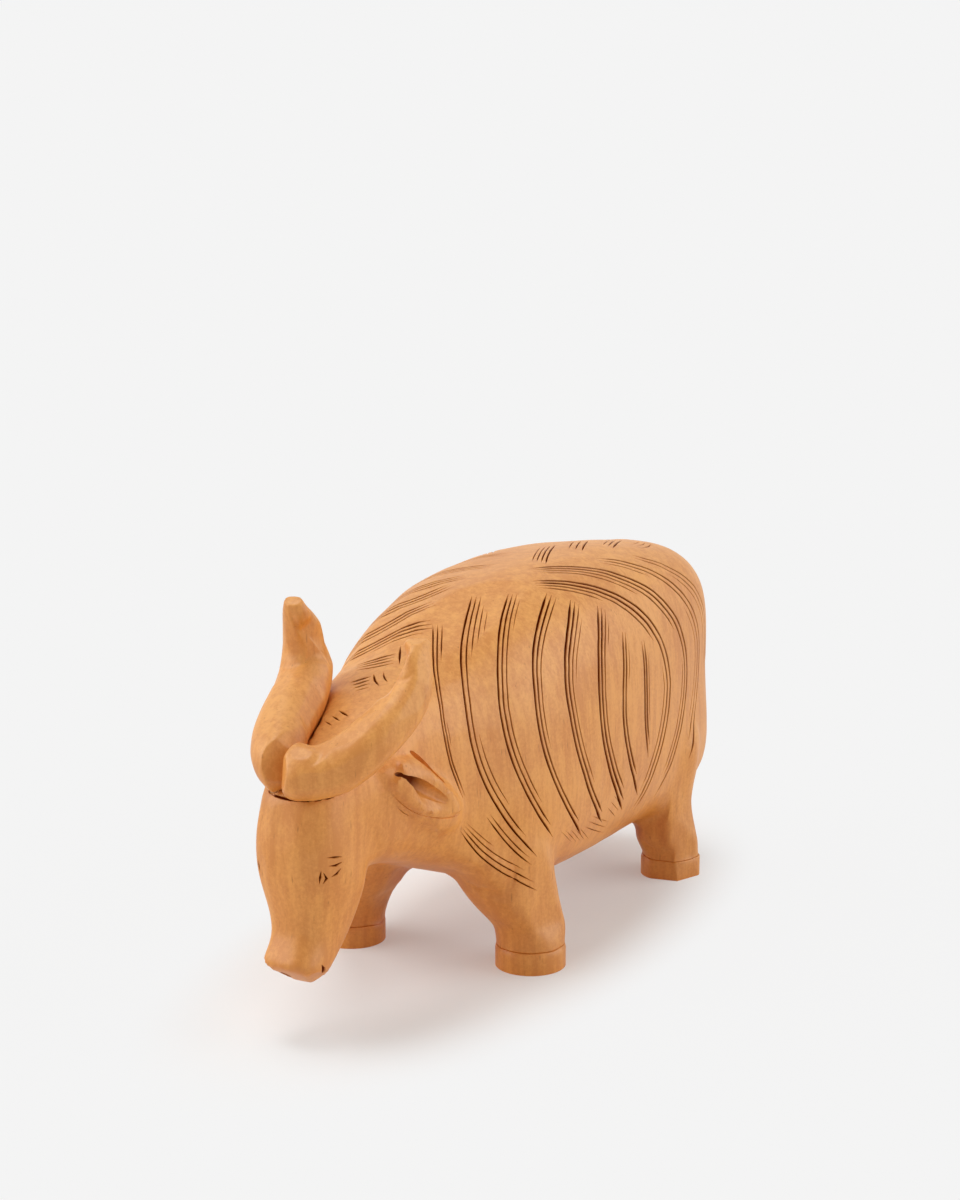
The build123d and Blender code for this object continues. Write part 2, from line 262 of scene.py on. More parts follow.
SPINE_CUTS = tuple(
    CutGroup(lead, plain(count, deep), pitch=(pitch, pitch))
    for lead, count, deep, pitch in (
        (((13, 27.5, 124.5), (8, 39, 124.5), (3.5, 51, 124), (0, 60, 124)), 4, 1.0, 1.6),
        (((14, 53, 124), (9, 65.5, 124), (5, 76, 123)), 3, 1.0, 2.4),
        (((18, 69, 122.5), (14, 81, 122), (10, 94, 121)), 3, 1.0, 1.9),
        (((21.5, 85.5, 120.5), (20.5, 94, 120), (18, 101, 118.5)), 3, 0.7, 2.2),
    )
)
NECK_CUTS = tuple(
    CutGroup(lead, plain(count, deep), pitch=(pitch, pitch))
    for lead, count, deep, pitch in (
        (((-0.5, -50, 108.5), (-5, -52.5, 106.5), (-12.5, -54.5, 104)), 4, 1.6, 2.2),
        (((-1, -64, 103), (-3, -65, 102), (-6.5, -67.5, 100.5)), 4, 1.6, 2.3),
        (((-1.5, -45.5, 110), (4, -55.5, 106)), 2, 1.1, 2.9),
        (((-1, -62.5, 103.5), (1.5, -66, 102), (4.5, -68.5, 101.5)), 2, 1.0, 3.1),
        (((3, -84.5, 96), (-2, -82, 96.5)), 4, 1.1, 2.9),
    )
)
FAR_STROKES = ((0, 0, 1, 1.65), (1, 0, 0.95, 1.5), (2, 0, 0.85, 1.2))
FAR_FLANK_CUTS = (
    CutGroup(
        (
            (0, -29, 116), (8, -35, 112.5), (18.5, -42.5, 107), (24, -45, 98), (28, -45, 86),
            (31, -43, 72), (34, -38, 58),
        ),
        ((0, 0, 1, 1.65), (1, 0, 0.95, 1.5), (2, 0, 0.8, 1.35), (3, 0.05, 0.3, 0.9)),
        pitch=(-2.4, -2.4),
        side=Side.RIGHT,
    ),
    CutGroup(
        (
            (6.5, -16.5, 118.5), (14, -24.5, 115), (19.5, -31, 111.5), (28, -34, 103),
            (34, -33, 88), (37, -30, 70), (39, -24, 54),
        ),
        FAR_STROKES,
        pitch=(-2.5, -2.7),
        side=Side.RIGHT,
    ),
    CutGroup(
        (
            (8.5, -2, 121.5), (14, -11, 119), (21, -16, 116), (31, -18, 108), (38, -18, 92),
            (41, -15, 74), (42, -6, 54),
        ),
        ((0, 0, 1, 1.65), (1, 0, 0.95, 1.5), (2, 0, 0.8, 1.2)),
        pitch=(-2.5, -2.8),
        side=Side.RIGHT,
    ),
    CutGroup(
        (
            (8, 8.5, 122.5), (15, 4, 121), (21, -1, 119), (33, -3, 111), (40, -3, 95),
            (42.5, -1, 76), (43, 8, 52),
        ),
        FAR_STROKES,
        pitch=(-2.5, -3),
        side=Side.RIGHT,
    ),
    CutGroup(
        (
            (4.5, 23.5, 123.5), (18, 22, 121.5), (27, 17, 118.5), (37, 14, 109), (42, 13, 93),
            (43.5, 14, 74), (43.5, 22, 52),
        ),
        FAR_STROKES,
        pitch=(-2.5, -3),
        side=Side.RIGHT,
    ),
    CutGroup(
        (
            (9, 45, 122.5), (18, 45, 121), (28, 40, 117.5), (39, 34, 107), (43, 31, 90),
            (44, 31, 74), (43.5, 38, 54),
        ),
        ((0, 0, 1, 1.54), (1, 0, 0.95, 1.4), (2, 0, 0.85, 1.12)),
        pitch=(-2.5, -3),
        side=Side.RIGHT,
    ),
)
FAR_HAUNCH_CUTS = (
    CutGroup(
        ((30, 50.5, 118), (37.5, 71.5, 107), (41, 87.5, 80), (42, 77, 56), (39, 62, 36.5)),
        ((0, 0, 1, 1), (1, 0, 0.95, 0.9), (2, 0, 0.45, 0.7), (2, 0.6, 0.95, 0.6)),
        pitch=(-1.6, -2.6),
        side=Side.RIGHT,
    ),
)
EYE_CUTS = tuple(
    CutGroup(lead, ((0, 0, 1, deep),), side=Side.BOTH)
    for lead, deep in (
        (((12.7, -114, 61.4), (15, -109.2, 60.8)), 1.0),
        (((13, -113.5, 58.7), (14.2, -111.4, 58.4), (15, -109.3, 59.1)), 1.1),
        (((13.2, -112.7, 55), (14.4, -110.6, 55.9), (14.8, -109.6, 57.2)), 1.1),
        (((11.4, -115.4, 57.4), (10.7, -115.4, 53.2)), 1.1),
        (((11.9, -114.8, 56.7), (12.4, -113.7, 54.3), (11.5, -114.6, 53.1)), 1.3),
    )
)
# A groove under the horns' seat; its dark cut colour also paints the shade under the horns'
# overhang.
SEAM_CUTS = (
    CutGroup(
        (
            (-9.4, -112, 78.6), (-7.1, -113.9, 78.4), (-3.4, -115.1, 78.2), (0, -115.5, 78.1),
            (4, -115, 78.2), (7.4, -113.7, 78.3), (9.8, -111.9, 78.5), (11.6, -109.6, 78.9),
            (13.5, -105.7, 79.8),
        ),
        ((0, 0, 1, 1.25),),
    ),
)
NOSTRIL_CUTS = (
    CutGroup(((10, -113.2, 26.5), (9.9, -111.7, 24), (9, -110.8, 22)), ((0, 0, 1, 2.6),)),
    CutGroup(
        ((2.2, -117.6, 23.6), (2.4, -114.5, 21.4), (2.8, -111.4, 19.3)),
        ((0, 0, 1, 3.0),),
        side=Side.RIGHT,
    ),
)
EAR_CUTS = (
    CutGroup(
        (
            (20.4, -89.5, 76.5), (23, -83.3, 69.5), (25.4, -77, 65.9), (28, -69, 63.7),
            (28.7, -60.5, 62.5), (28.6, -60.3, 67),
        ),
        ((0, 0, 1, 0.6),),
        side=Side.BOTH,
        carved=Pass.SHAPE,
    ),
    CutGroup(
        ((20.6, -86.4, 71.3), (21.3, -82.2, 67.7), (23.1, -79.9, 66.3)),
        ((0, 0, 1, 0.4),),
        side=Side.BOTH,
    ),
)
HOOF_CENTRES = ((32.7, -20.05), (-32.7, -27.05), (34.2, 87.85), (-34.2, 87.85))
HOOF_HEIGHT = 7.4
HOOF_REACH = 13.0
HOOF_STEPS = 12
HOOF_CUT = 0.45


def hoof_cuts() -> tuple[CutGroup, ...]:
    """A line round each leg that parts it from its hoof.

    Returns:
        One group for each leg, which starts and ends on the inner side.
    """
    made = []
    for x, y in HOOF_CENTRES:
        turns = [math.radians(180 * (x > 0) + 360 * i / HOOF_STEPS) for i in range(HOOF_STEPS + 1)]
        ring = tuple(
            (x + HOOF_REACH * math.cos(t), y + HOOF_REACH * math.sin(t), HOOF_HEIGHT) for t in turns
        )
        made.append(CutGroup(ring, ((0, 0, 1, HOOF_CUT),), carved=Pass.SHAPE))
    return tuple(made)


@dataclass(frozen=True)
class KnifeFlat:
    """A flat that the knife pared off, in millimetres.

    Without a direction of its own it lies along the surface.
    """

    place: Point
    sink: float
    reach: float
    facing: Point | None = None


FACE_FLATS = tuple(
    KnifeFlat((x, -118, z), sink, 17) for z, sink in ((69, 0.5), (57, 0.3)) for x in (-9, 0, 9)
)
WITHERS_FLATS = (
    KnifeFlat((4, -14, 120.5), 1.4, 36, (0.14, -0.27, 0.95)),
    KnifeFlat((-13, -14, 120), 0.8, 28),
    KnifeFlat((-15, -34, 112), 0.8, 26),
)
LEG_FLATS = (
    KnifeFlat((35.5, 75.7, 18), 0.7, 17, (0.18, -0.98, 0)),
    KnifeFlat((42, 82.5, 17), 0.7, 17, (0.93, -0.37, 0)),
    KnifeFlat((33, -38, 28), 0.6, 15, (0.3, -0.94, 0.1)),
    KnifeFlat((41.3, -22.7, 24), 0.6, 15, (0.96, -0.25, 0)),
    KnifeFlat((33, 77.5, 4), 0.8, 14, (0.18, -0.98, 0)),
    KnifeFlat((43.5, 84, 4), 0.8, 14, (0.93, -0.37, 0)),
)
MUZZLE_FLATS = (
    KnifeFlat((-6, -115, 21.5), 1.3, 9, (-0.62, -0.3, -0.72)),
    KnifeFlat((8.5, -111, 22), 1.0, 9, (0.62, -0.2, -0.75)),
)
LEFT_HORN_FLATS = (
    KnifeFlat((1.5, -120.5, 88), 1.2, 14, (-0.72, -0.68, 0.1)),
    KnifeFlat((26.3, -82, 124.2), 0.8, 12, (0.1, -0.12, 0.99)),
    KnifeFlat((6.1, -117.7, 94.5), 0.4, 11),
    KnifeFlat((14, -110.8, 97), 0.35, 12),
    KnifeFlat((21.1, -105.1, 102.7), 0.35, 12),
    KnifeFlat((23.7, -96, 109.3), 0.2, 12),
    KnifeFlat((23.2, -90.5, 115.5), 1.3, 10, (-0.84, -0.35, 0.42)),
    KnifeFlat((11.2, -120.5, 86.7), 0.4, 12),
    KnifeFlat((19.3, -113.9, 88.6), 0.4, 12),
    KnifeFlat((26.4, -106.5, 93.3), 0.4, 12),
    KnifeFlat((30.5, -99.3, 100.1), 0.4, 12),
    KnifeFlat((32.1, -92.5, 108), 0.35, 12),
    KnifeFlat((31.5, -87.7, 115.5), 0.3, 11),
)
RIGHT_HORN_FLATS = (
    KnifeFlat((-2.8, -116, 91.5), 1.6, 18, (0.74, -0.6, 0.3)),
    KnifeFlat((-18.9, -79, 132.3), 0.6, 10, (0.05, -0.2, 0.98)),
    KnifeFlat((-12.8, -75.5, 115), 0.9, 12, (0.73, 0.40, 0.55)),
    KnifeFlat((-18.1, -89.5, 107.2), 0.35, 12),
    KnifeFlat((-13.4, -105.2, 100.3), 0.4, 12),
    KnifeFlat((-15.1, -79.4, 118.1), 0.4, 14),
    KnifeFlat((-6.7, -90.9, 101), 0.35, 12),
)


@dataclass(frozen=True)
class Gouge:
    """A scoop taken out with a round gouge, in millimetres.

    It runs from its deep end to its shallow end and has a half width and a half depth.
    """

    deep_end: Point
    shallow_end: Point
    half_width: float
    half_depth: float

    def mesh(self, around: int, along: int) -> Mesh:
        """The wood that the scoop takes out on both sides.

        Args:
            around: How many faces go round it.
            along: How many rows of faces go along it.

        Returns:
            The mesh.
        """
        work = bmesh.new()
        for flip in Side.BOTH.value:
            ends = (self.deep_end, self.shallow_end)
            deep, shallow = (Vector((flip * x, y, z)) * MM for x, y, z in ends)
            length = (shallow - deep) / 2
            across = length.cross(Vector((flip, 0, 0))).normalized() * self.half_width * MM
            inward = length.cross(across).normalized() * self.half_depth * MM
            columns = Matrix((length, across, inward)).transposed().to_4x4()
            place = Matrix.Translation((deep + shallow) / 2) @ columns
            bmesh.ops.create_uvsphere(
                work, u_segments=around, v_segments=along, radius=1, matrix=place
            )
        bmesh.ops.recalc_face_normals(work, faces=work.faces)
        made = bpy.data.meshes.new("gouge")
        work.to_mesh(made)
        work.free()
        return made


@dataclass(frozen=True)
class Region:
    """A box that takes in a part of the cow on both sides, in millimetres."""

    aside: Span = (-math.inf, math.inf)
    along: Span = (-math.inf, math.inf)
    up: Span = (-math.inf, math.inf)

    def holds(self, points: np.ndarray) -> np.ndarray:
        """Finds what lies within the box.

        Args:
            points: One row for each point, in metres.

        Returns:
            Whether each point lies within.
        """
        inside = np.ones(len(points), bool)
        columns = (np.abs(points[:, 0]), points[:, 1], points[:, 2])
        for values, (low, high) in zip(columns, (self.aside, self.along, self.up)):
            inside &= (values > low * MM) & (values < high * MM)
        return inside


POLL = Region(along=(-math.inf, -84), up=(74, math.inf))
EARS = Region(aside=(13, math.inf), along=(-98, -52), up=(58, math.inf))
HOOF_LEDGES = Region(up=(7.5, 13))
EAR_LEAF = (
    (-93.9, 83.3), (-88.6, 85.3), (-82.3, 86.1), (-78.1, 85.8), (-73.5, 80.5), (-67.4, 73.6),
    (-62.4, 69.5), (-60.8, 65.5), (-60.8, 62.9), (-69.1, 64.1), (-75.3, 65.5), (-79, 67),
    (-83.7, 70.3), (-87.6, 74.1), (-89.9, 77.4), (-91.7, 80.7),
)
EAR_RISE = 1.3
EAR_RIM = 1.6
EAR_GOUGES = (
    Gouge((21.6, -88.6, 82.5), (31, -68, 68), 2.4, 3.4),
    Gouge((20.2, -78, 86.8), (28.6, -66, 73.6), 1.5, 3.0),
)


def add_sockets(tree: NodeTree, way: str, kinds: dict[str, str]) -> dict[str, str]:
    """Adds named inputs or outputs to a node tree.

    Args:
        tree: The tree.
        way: INPUT or OUTPUT.
        kinds: Blender's type of each socket, by the socket's name.

    Returns:
        The identifier of each socket, by its name.
    """
    made = {}
    for name, kind in kinds.items():
        socket = tree.interface.new_socket(name, in_out=way, socket_type="NodeSocket" + kind)
        made[name] = socket.identifier
    return made


def add_node(tree: NodeTree, kind: str, **settings: object) -> Node:
    """A node with its settings and inputs.

    Args:
        tree: The tree that it goes into.
        kind: Blender's type of node.
        **settings: Properties by name, and inputs as a dictionary under the name values.

    Returns:
        The node.
    """
    node = tree.nodes.new(kind)
    values = settings.pop("values", {})
    for name, value in settings.items():
        setattr(node, name, value)
    for name, value in values.items():
        if isinstance(value, NodeSocket):
            tree.links.new(value, node.inputs[name])
        else:
            node.inputs[name].default_value = value
    return node


def math_node(tree: NodeTree, operation: str, *values: object) -> NodeSocket:
    """The result of a sum on numbers or sockets.

    Args:
        tree: The tree that it goes into.
        operation: Blender's name of the operation.
        *values: Numbers or output sockets, in order.

    Returns:
        The output socket.
    """
    made = add_node(tree, "ShaderNodeMath", operation=operation, values=dict(enumerate(values)))
    return made.outputs[0]


def ranged(
    tree: NodeTree,
    value: NodeSocket,
    span: tuple[object, object],
    onto: Span = (0.0, 1.0),
    slope: str = "LINEAR",
) -> NodeSocket:
    """A value moved from one span of numbers onto another and kept within it.

    Args:
        tree: The tree that it goes into.
        value: The output socket that is read.
        span: Where the value starts and ends, as numbers or output sockets.
        onto: What it becomes there.
        slope: Blender's name of the way between them.

    Returns:
        The output socket.
    """
    values = {"Value": value, "From Min": span[0], "From Max": span[1]}
    values |= {"To Min": onto[0], "To Max": onto[1]}
    return add_node(tree, "ShaderNodeMapRange", interpolation_type=slope, values=values).outputs[0]


def blended(
    tree: NodeTree, share: object, first: object, second: object, blend: str = "MIX"
) -> NodeSocket:
    """Two colours put together.

    Args:
        tree: The tree that it goes into.
        share: How much of the second colour there is, as a number or an output socket.
        first: The first colour or its output socket.
        second: The second colour or its output socket.
        blend: Blender's name of the way they go together.

    Returns:
        The output socket.
    """
    values = {0: share, 6: first, 7: second}
    made = add_node(tree, "ShaderNodeMix", data_type="RGBA", blend_type=blend, values=values)
    return made.outputs[2]


def attribute(tree: NodeTree, name: str) -> NodeSocket:
    """The number that a mesh carries under a name."""
    return add_node(tree, "ShaderNodeAttribute", attribute_name=name).outputs["Fac"]


def mesh_object(name: str, mesh: Mesh) -> Object:
    """A linked object for a mesh.

    Args:
        name: The object's name.
        mesh: Its mesh.

    Returns:
        The object.
    """
    made = bpy.data.objects.new(name, mesh)
    bpy.context.scene.collection.objects.link(made)
    return made


def flattened(made: Object) -> Object:
    """Turns the modifiers of an object into its plain mesh.

    Args:
        made: The object.

    Returns:
        The same object, without modifiers.
    """
    evaluated = made.evaluated_get(bpy.context.evaluated_depsgraph_get())
    mesh = bpy.data.meshes.new_from_object(evaluated)
    made.modifiers.clear()
    old = made.data
    made.data = mesh
    bpy.data.meshes.remove(old)
    mesh.name = made.name
    return made


WELD = 0.002 * MM


def node_copy(node: str, name: str) -> Object:
    """A copy of a CAD node as a closed mesh.

    Args:
        node: The node's name.
        name: The new object's name.

    Returns:
        The new object.
    """
    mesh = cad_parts[node].data.copy()
    mesh.materials.clear()
    work = bmesh.new()
    work.from_mesh(mesh)
    bmesh.ops.remove_doubles(work, verts=work.verts, dist=WELD)
    work.to_mesh(mesh)
    work.free()
    mesh.name = name
    return mesh_object(name, mesh)


def remeshed(made: Object, voxel: float) -> Object:
    """Replaces an object's mesh by an even one.

    Args:
        made: The object.
        voxel: Size of the new mesh's cells, in metres.

    Returns:
        The same object.
    """
    made.modifiers.new("even", "REMESH").mode = "VOXEL"
    made.modifiers["even"].voxel_size = voxel
    return flattened(made)


def surface_tree(mesh: Mesh) -> BVHTree:
    """A search tree over the faces of a mesh.

    Args:
        mesh: The mesh.

    Returns:
        The tree.
    """
    corners = [v.co[:] for v in mesh.vertices]
    return BVHTree.FromPolygons(corners, [p.vertices[:] for p in mesh.polygons])


def store_values(mesh: Mesh, name: str, values: np.ndarray) -> None:
    """Writes one number for each point of a mesh.

    Args:
        mesh: The mesh.
        name: The attribute's name.
        values: The numbers, in the order of the points.
    """
    mesh.attributes.new(name, "FLOAT", "POINT").data.foreach_set("value", values)


class Skin:
    """The points of a mesh, for shaping it as a whole."""

    PACE = 0.5
    FLAT_CORE = 0.3
    FLAT_FADE = 0.35
    PARE_MOST = 5
    PARE_FADE = 3
    LIFT_FROM = 12 * MM
    GOLDEN_TURN = math.pi * (3 - math.sqrt(5))
    GRAZING = 0.15
    LOW_WAY = -0.1
    LOW_WORTH = 0.5
    RAY_START = 0.4 * MM
    RAY_REACH = 90 * MM
    OPEN_BLUR = 3
    SPREAD_GAIN = 1.25
    FACET_BLOCK = 4096
    FACET_TURN = 6
    FACET_MOST = 0.35 * MM

    def __init__(self, mesh: Mesh) -> None:
        """Reads the points and edges.

        Args:
            mesh: The mesh to shape.
        """
        self.mesh = mesh
        count = len(mesh.vertices)
        self.points = np.empty(count * 3)
        mesh.vertices.foreach_get("co", self.points)
        self.points = self.points.reshape(-1, 3)
        self.edges = np.empty(len(mesh.edges) * 2, int)
        mesh.edges.foreach_get("vertices", self.edges)
        self.edges = self.edges.reshape(-1, 2)
        self.degree = np.maximum(np.bincount(self.edges.ravel(), minlength=count), 1)

    def averaged(self, values: np.ndarray) -> np.ndarray:
        """The mean of each point's neighbours.

        Args:
            values: One row for each point.

        Returns:
            The means, in the same shape.
        """
        first, second = self.edges[:, 0], self.edges[:, 1]
        columns = values.reshape(len(self.degree), -1)
        made = np.empty_like(columns)
        for i in range(columns.shape[1]):
            total = np.bincount(first, columns[second, i], len(self.degree))
            total += np.bincount(second, columns[first, i], len(self.degree))
            made[:, i] = total / self.degree
        return made.reshape(values.shape)

    def normals(self) -> np.ndarray:
        """The outward direction at each point.

        Returns:
            One row for each point.
        """
        self.store()
        made = np.empty(len(self.degree) * 3, np.float32)
        self.mesh.vertex_normals.foreach_get("vector", made)
        return made.reshape(-1, 3).astype(float)

    def smooth(self, rounds: int, share: np.ndarray | float = 1.0) -> None:
        """Evens the surface out.

        Args:
            rounds: How often each point moves towards its neighbours.
            share: How much each point takes part, from 0 to 1.
        """
        weight = np.broadcast_to(np.asarray(share, float), self.degree.shape)[:, None] * self.PACE
        for _ in range(rounds):
            self.points += weight * (self.averaged(self.points) - self.points)

    def fill(self, rounds: int, share: np.ndarray) -> None:
        """Fills narrow hollows up to the surface round them.

        Args:
            rounds: How often each sunk point rises to its neighbours.
            share: How much each point takes part, from 0 to 1.
        """
        for _ in range(rounds):
            normals = self.normals()
            rise = np.einsum("ij,ij->i", self.averaged(self.points) - self.points, normals)
            self.points += (share * np.maximum(rise, 0))[:, None] * normals

    def press(self, flats: tuple[KnifeFlat, ...]) -> None:
        """Pares flats a little under the surface.

        Args:
            flats: The flats, in the order of their cutting.
        """
        for flat in flats:
            gaps = np.linalg.norm(self.points - np.array(flat.place) * MM, axis=1)
            middle = self.points[gaps.argmin()].copy()
            gaps = np.linalg.norm(self.points - middle, axis=1)
            reach, sink = flat.reach * MM, flat.sink * MM
            facing = np.array(flat.facing or self.normals()[gaps < self.FLAT_CORE * reach].mean(0))
            facing /= np.linalg.norm(facing)
            over = np.maximum((self.points - middle) @ facing + sink, 0)
            share = np.clip((reach - gaps) / (self.FLAT_FADE * reach), 0, 1)
            share *= np.clip((self.PARE_MOST * sink - over) / (self.PARE_FADE * sink), 0, 1)
            self.points -= (over * share)[:, None] * facing

    def lift(self, outline: tuple[Span, ...], rise: float, rim: float) -> None:
        """Raises the part of both sides that lies within an outline.

        Args:
            outline: Corners along and up, in millimetres.
            rise: How far the part rises, in millimetres.
            rim: How wide its sloping rim is, in millimetres.
        """
        flat = self.points[:, 1:] / MM
        inside = np.zeros(len(flat), bool)
        gap = np.full(len(flat), np.inf)
        for a, b in zip(map(np.array, outline), map(np.array, outline[1:] + outline[:1])):
            along = np.clip((flat - a) @ (b - a) / ((b - a) @ (b - a)), 0, 1)
            gap = np.minimum(gap, np.linalg.norm(flat - a - along[:, None] * (b - a), axis=1))
            crossed = (a[1] > flat[:, 1]) != (b[1] > flat[:, 1])
            level = (flat[:, 1] - a[1]) / ((b[1] - a[1]) or 1)
            inside ^= crossed & (flat[:, 0] < a[0] + level * (b[0] - a[0]))
        outer = np.abs(self.points[:, 0]) > self.LIFT_FROM
        share = np.where(inside & outer, np.clip(gap / rim, 0, 1), 0)
        self.points += (rise * MM * share)[:, None] * self.normals()

    def exposed(self, rays: int = 28) -> np.ndarray:
        """How open each point is to its surroundings.

        Args:
            rays: How many directions are looked in.

        Returns:
            A share from 0 to 1 for each point.
        """
        normals = self.normals()
        tree = surface_tree(self.mesh)
        turns = np.arange(rays) * self.GOLDEN_TURN
        heights = 1 - (2 * np.arange(rays) + 1) / rays
        rings = np.sqrt(1 - heights**2)
        ways = np.stack((rings * np.cos(turns), rings * np.sin(turns), heights), axis=1)
        facing = np.maximum(normals @ ways.T - self.GRAZING, 0)
        worth = np.where(heights > self.LOW_WAY, 1.0, self.LOW_WORTH)
        vectors = [Vector(way) for way in ways]
        share = np.zeros(len(self.degree))
        for i, row in enumerate(facing):
            start = Vector(self.points[i] + self.RAY_START * normals[i])
            for j in np.flatnonzero(row):
                if tree.ray_cast(start, vectors[j], self.RAY_REACH)[0] is None:
                    share[i] += row[j] * worth[j]
        share /= np.maximum(facing.sum(1), 1e-6)
        for _ in range(self.OPEN_BLUR):
            share = (share + self.averaged(share)) / 2
        return share

    def hollows(self, limit: float, spread: int) -> np.ndarray:
        """Marks the inner corners of the surface.

        Args:
            limit: How far a point may lie under its neighbours before it counts, in metres.
            spread: How many rings round such a point count too.

        Returns:
            A share from 0 to 1 for each point.
        """
        sunk = np.einsum("ij,ij->i", self.averaged(self.points) - self.points, self.normals())
        share = (sunk > limit).astype(float)
        for _ in range(spread):
            share = np.maximum(share, self.averaged(share))
            share = np.minimum(share * self.SPREAD_GAIN, 1)
        return share

    def facet(self, spacing: float, strength: float, seed: int) -> None:
        """Leaves the faint flats of a knife.

        Args:
            spacing: About how far the flats lie apart, in metres.
            strength: How much of a point's height over its flat is taken, from 0 to 1.
            seed: Fixes where the flats lie.
        """
        normals = self.normals()
        order = np.random.default_rng(seed).permutation(len(self.degree))
        cells: dict[tuple[int, ...], int] = {}
        for i in order:
            cells.setdefault(tuple(np.floor(self.points[i] / spacing).astype(int)), i)
        seeds = np.array(sorted(cells.values()))
        nearest = np.empty(len(self.degree), int)
        for start in range(0, len(self.degree), self.FACET_BLOCK):
            block = slice(start, start + self.FACET_BLOCK)
            gaps = ((self.points[block, None, :] - self.points[None, seeds]) ** 2).sum(2)
            apart = 1 - normals[block] @ normals[seeds].T
            nearest[block] = seeds[np.argmin(gaps * (1 + self.FACET_TURN * apart), axis=1)]
        rise = np.einsum("ij,ij->i", self.points[nearest] - self.points, normals[nearest])
        taken = strength * np.clip(rise, -self.FACET_MOST, self.FACET_MOST)
        self.points += taken[:, None] * normals[nearest]

    def store(self) -> None:
        """Writes the points back to the mesh."""
        self.mesh.vertices.foreach_set("co", self.points.ravel())
        self.mesh.update()


class CutLines:
    """Lines of cuts laid over a surface."""

    STEPS = 40
    SETTLING = 3
    LEAD_EVENING = 10
    LINE_EVENING = 5
    NEAR = 1e-6

    def __init__(self, surface: Object) -> None:
        """Prepares the surface for finding its nearest points.

        Args:
            surface: The object that gets cut.
        """
        self.tree = surface_tree(surface.data)

    def on_surface(self, point: Vector) -> tuple[Vector, Vector]:
        """The nearest point of the surface and its direction."""
        place, direction, _, _ = self.tree.find_nearest(point)
        return place, direction

    def lead(self, group: CutGroup, flip: int) -> list[Vector]:
        """A smooth line through a group's points, on the surface.

        Args:
            group: The group of cuts.
            flip: 1 on the left side of the cow and -1 on its right.

        Returns:
            The points of the line.
        """
        given = [Vector((flip * x, y, z)) * MM for x, y, z in group.lead]
        ends = [given[0] * 2 - given[1], *given, given[-1] * 2 - given[-2]]
        lengths = [(b - a).length for a, b in zip(given, given[1:])]
        total = sum(lengths)
        made = []
        for i in range(self.STEPS + 1):
            along = total * i / self.STEPS
            span = 0
            while span < len(lengths) - 1 and along > lengths[span]:
                along -= lengths[span]
                span += 1
            t = min(along / lengths[span], 1.0)
            p0, p1, p2, p3 = ends[span : span + 4]
            square = (p0 * 2 - p1 * 5 + p2 * 4 - p3) * t**2
            cube = (p1 * 3 - p0 - p2 * 3 + p3) * t**3
            made.append((p1 * 2 + (p2 - p0) * t + square + cube) / 2)
        for _ in range(self.SETTLING):
            made = self.relaxed(made, self.LEAD_EVENING)
        return made

    def relaxed(self, line: list[Vector], rounds: int) -> list[Vector]:
        """A line evened out and laid back on the surface.

        Args:
            line: The points of the line.
            rounds: How often each inner point moves between its neighbours.

        Returns:
            The new points.
        """
        for _ in range(rounds):
            inner = [(a + b * 2 + c) / 4 for a, b, c in zip(line, line[1:], line[2:])]
            line = [line[0], *inner, line[-1]]
        return [self.on_surface(p)[0] for p in line]

    def group_lines(self, group: CutGroup, flip: int) -> list[tuple[list[Vector], float]]:
        """The lines of a group on one side of the cow.

        Args:
            group: The group of cuts.
            flip: 1 on the left side and -1 on the right.

        Returns:
            Each line's points and its depth share.
        """
        lead = self.lead(group, flip)
        at_start, at_middle = group.pitch
        made = []
        for number, start, end, depth in group.strokes:
            line = []
            for i in range(self.STEPS + 1):
                share = i / self.STEPS
                if not start - self.NEAR <= share <= end + self.NEAR:
                    continue
                before, after = lead[max(i - 1, 0)], lead[min(i + 1, self.STEPS)]
                _, outward = self.on_surface(lead[i])
                aside = outward.cross(after - before).normalized()
                pitch = at_start + (at_middle - at_start) * min(2 * share, 1)
                line.append(self.on_surface(lead[i] + aside * (flip * number * pitch * MM))[0])
            if len(line) > 1:
                made.append((self.relaxed(line, self.LINE_EVENING), depth))
        return made

    def line_object(self, name: str, groups: list[CutGroup]) -> Object:
        """All lines of some groups as chains of edges that carry their depth.

        Args:
            name: The object's name.
            groups: The groups of cuts.

        Returns:
            The object.
        """
        points: list[Vector] = []
        edges: list[tuple[int, int]] = []
        depths: list[float] = []
        for group in groups:
            for flip in group.side.value:
                for line, depth in self.group_lines(group, flip):
                    first = len(points)
                    points += line
                    edges += [(first + i, first + i + 1) for i in range(len(line) - 1)]
                    depths += [depth] * len(line)
        mesh = bpy.data.meshes.new(name)
        mesh.from_pydata(points, edges, [])
        store_values(mesh, "depth", np.array(depths))
        return mesh_object(name, mesh)


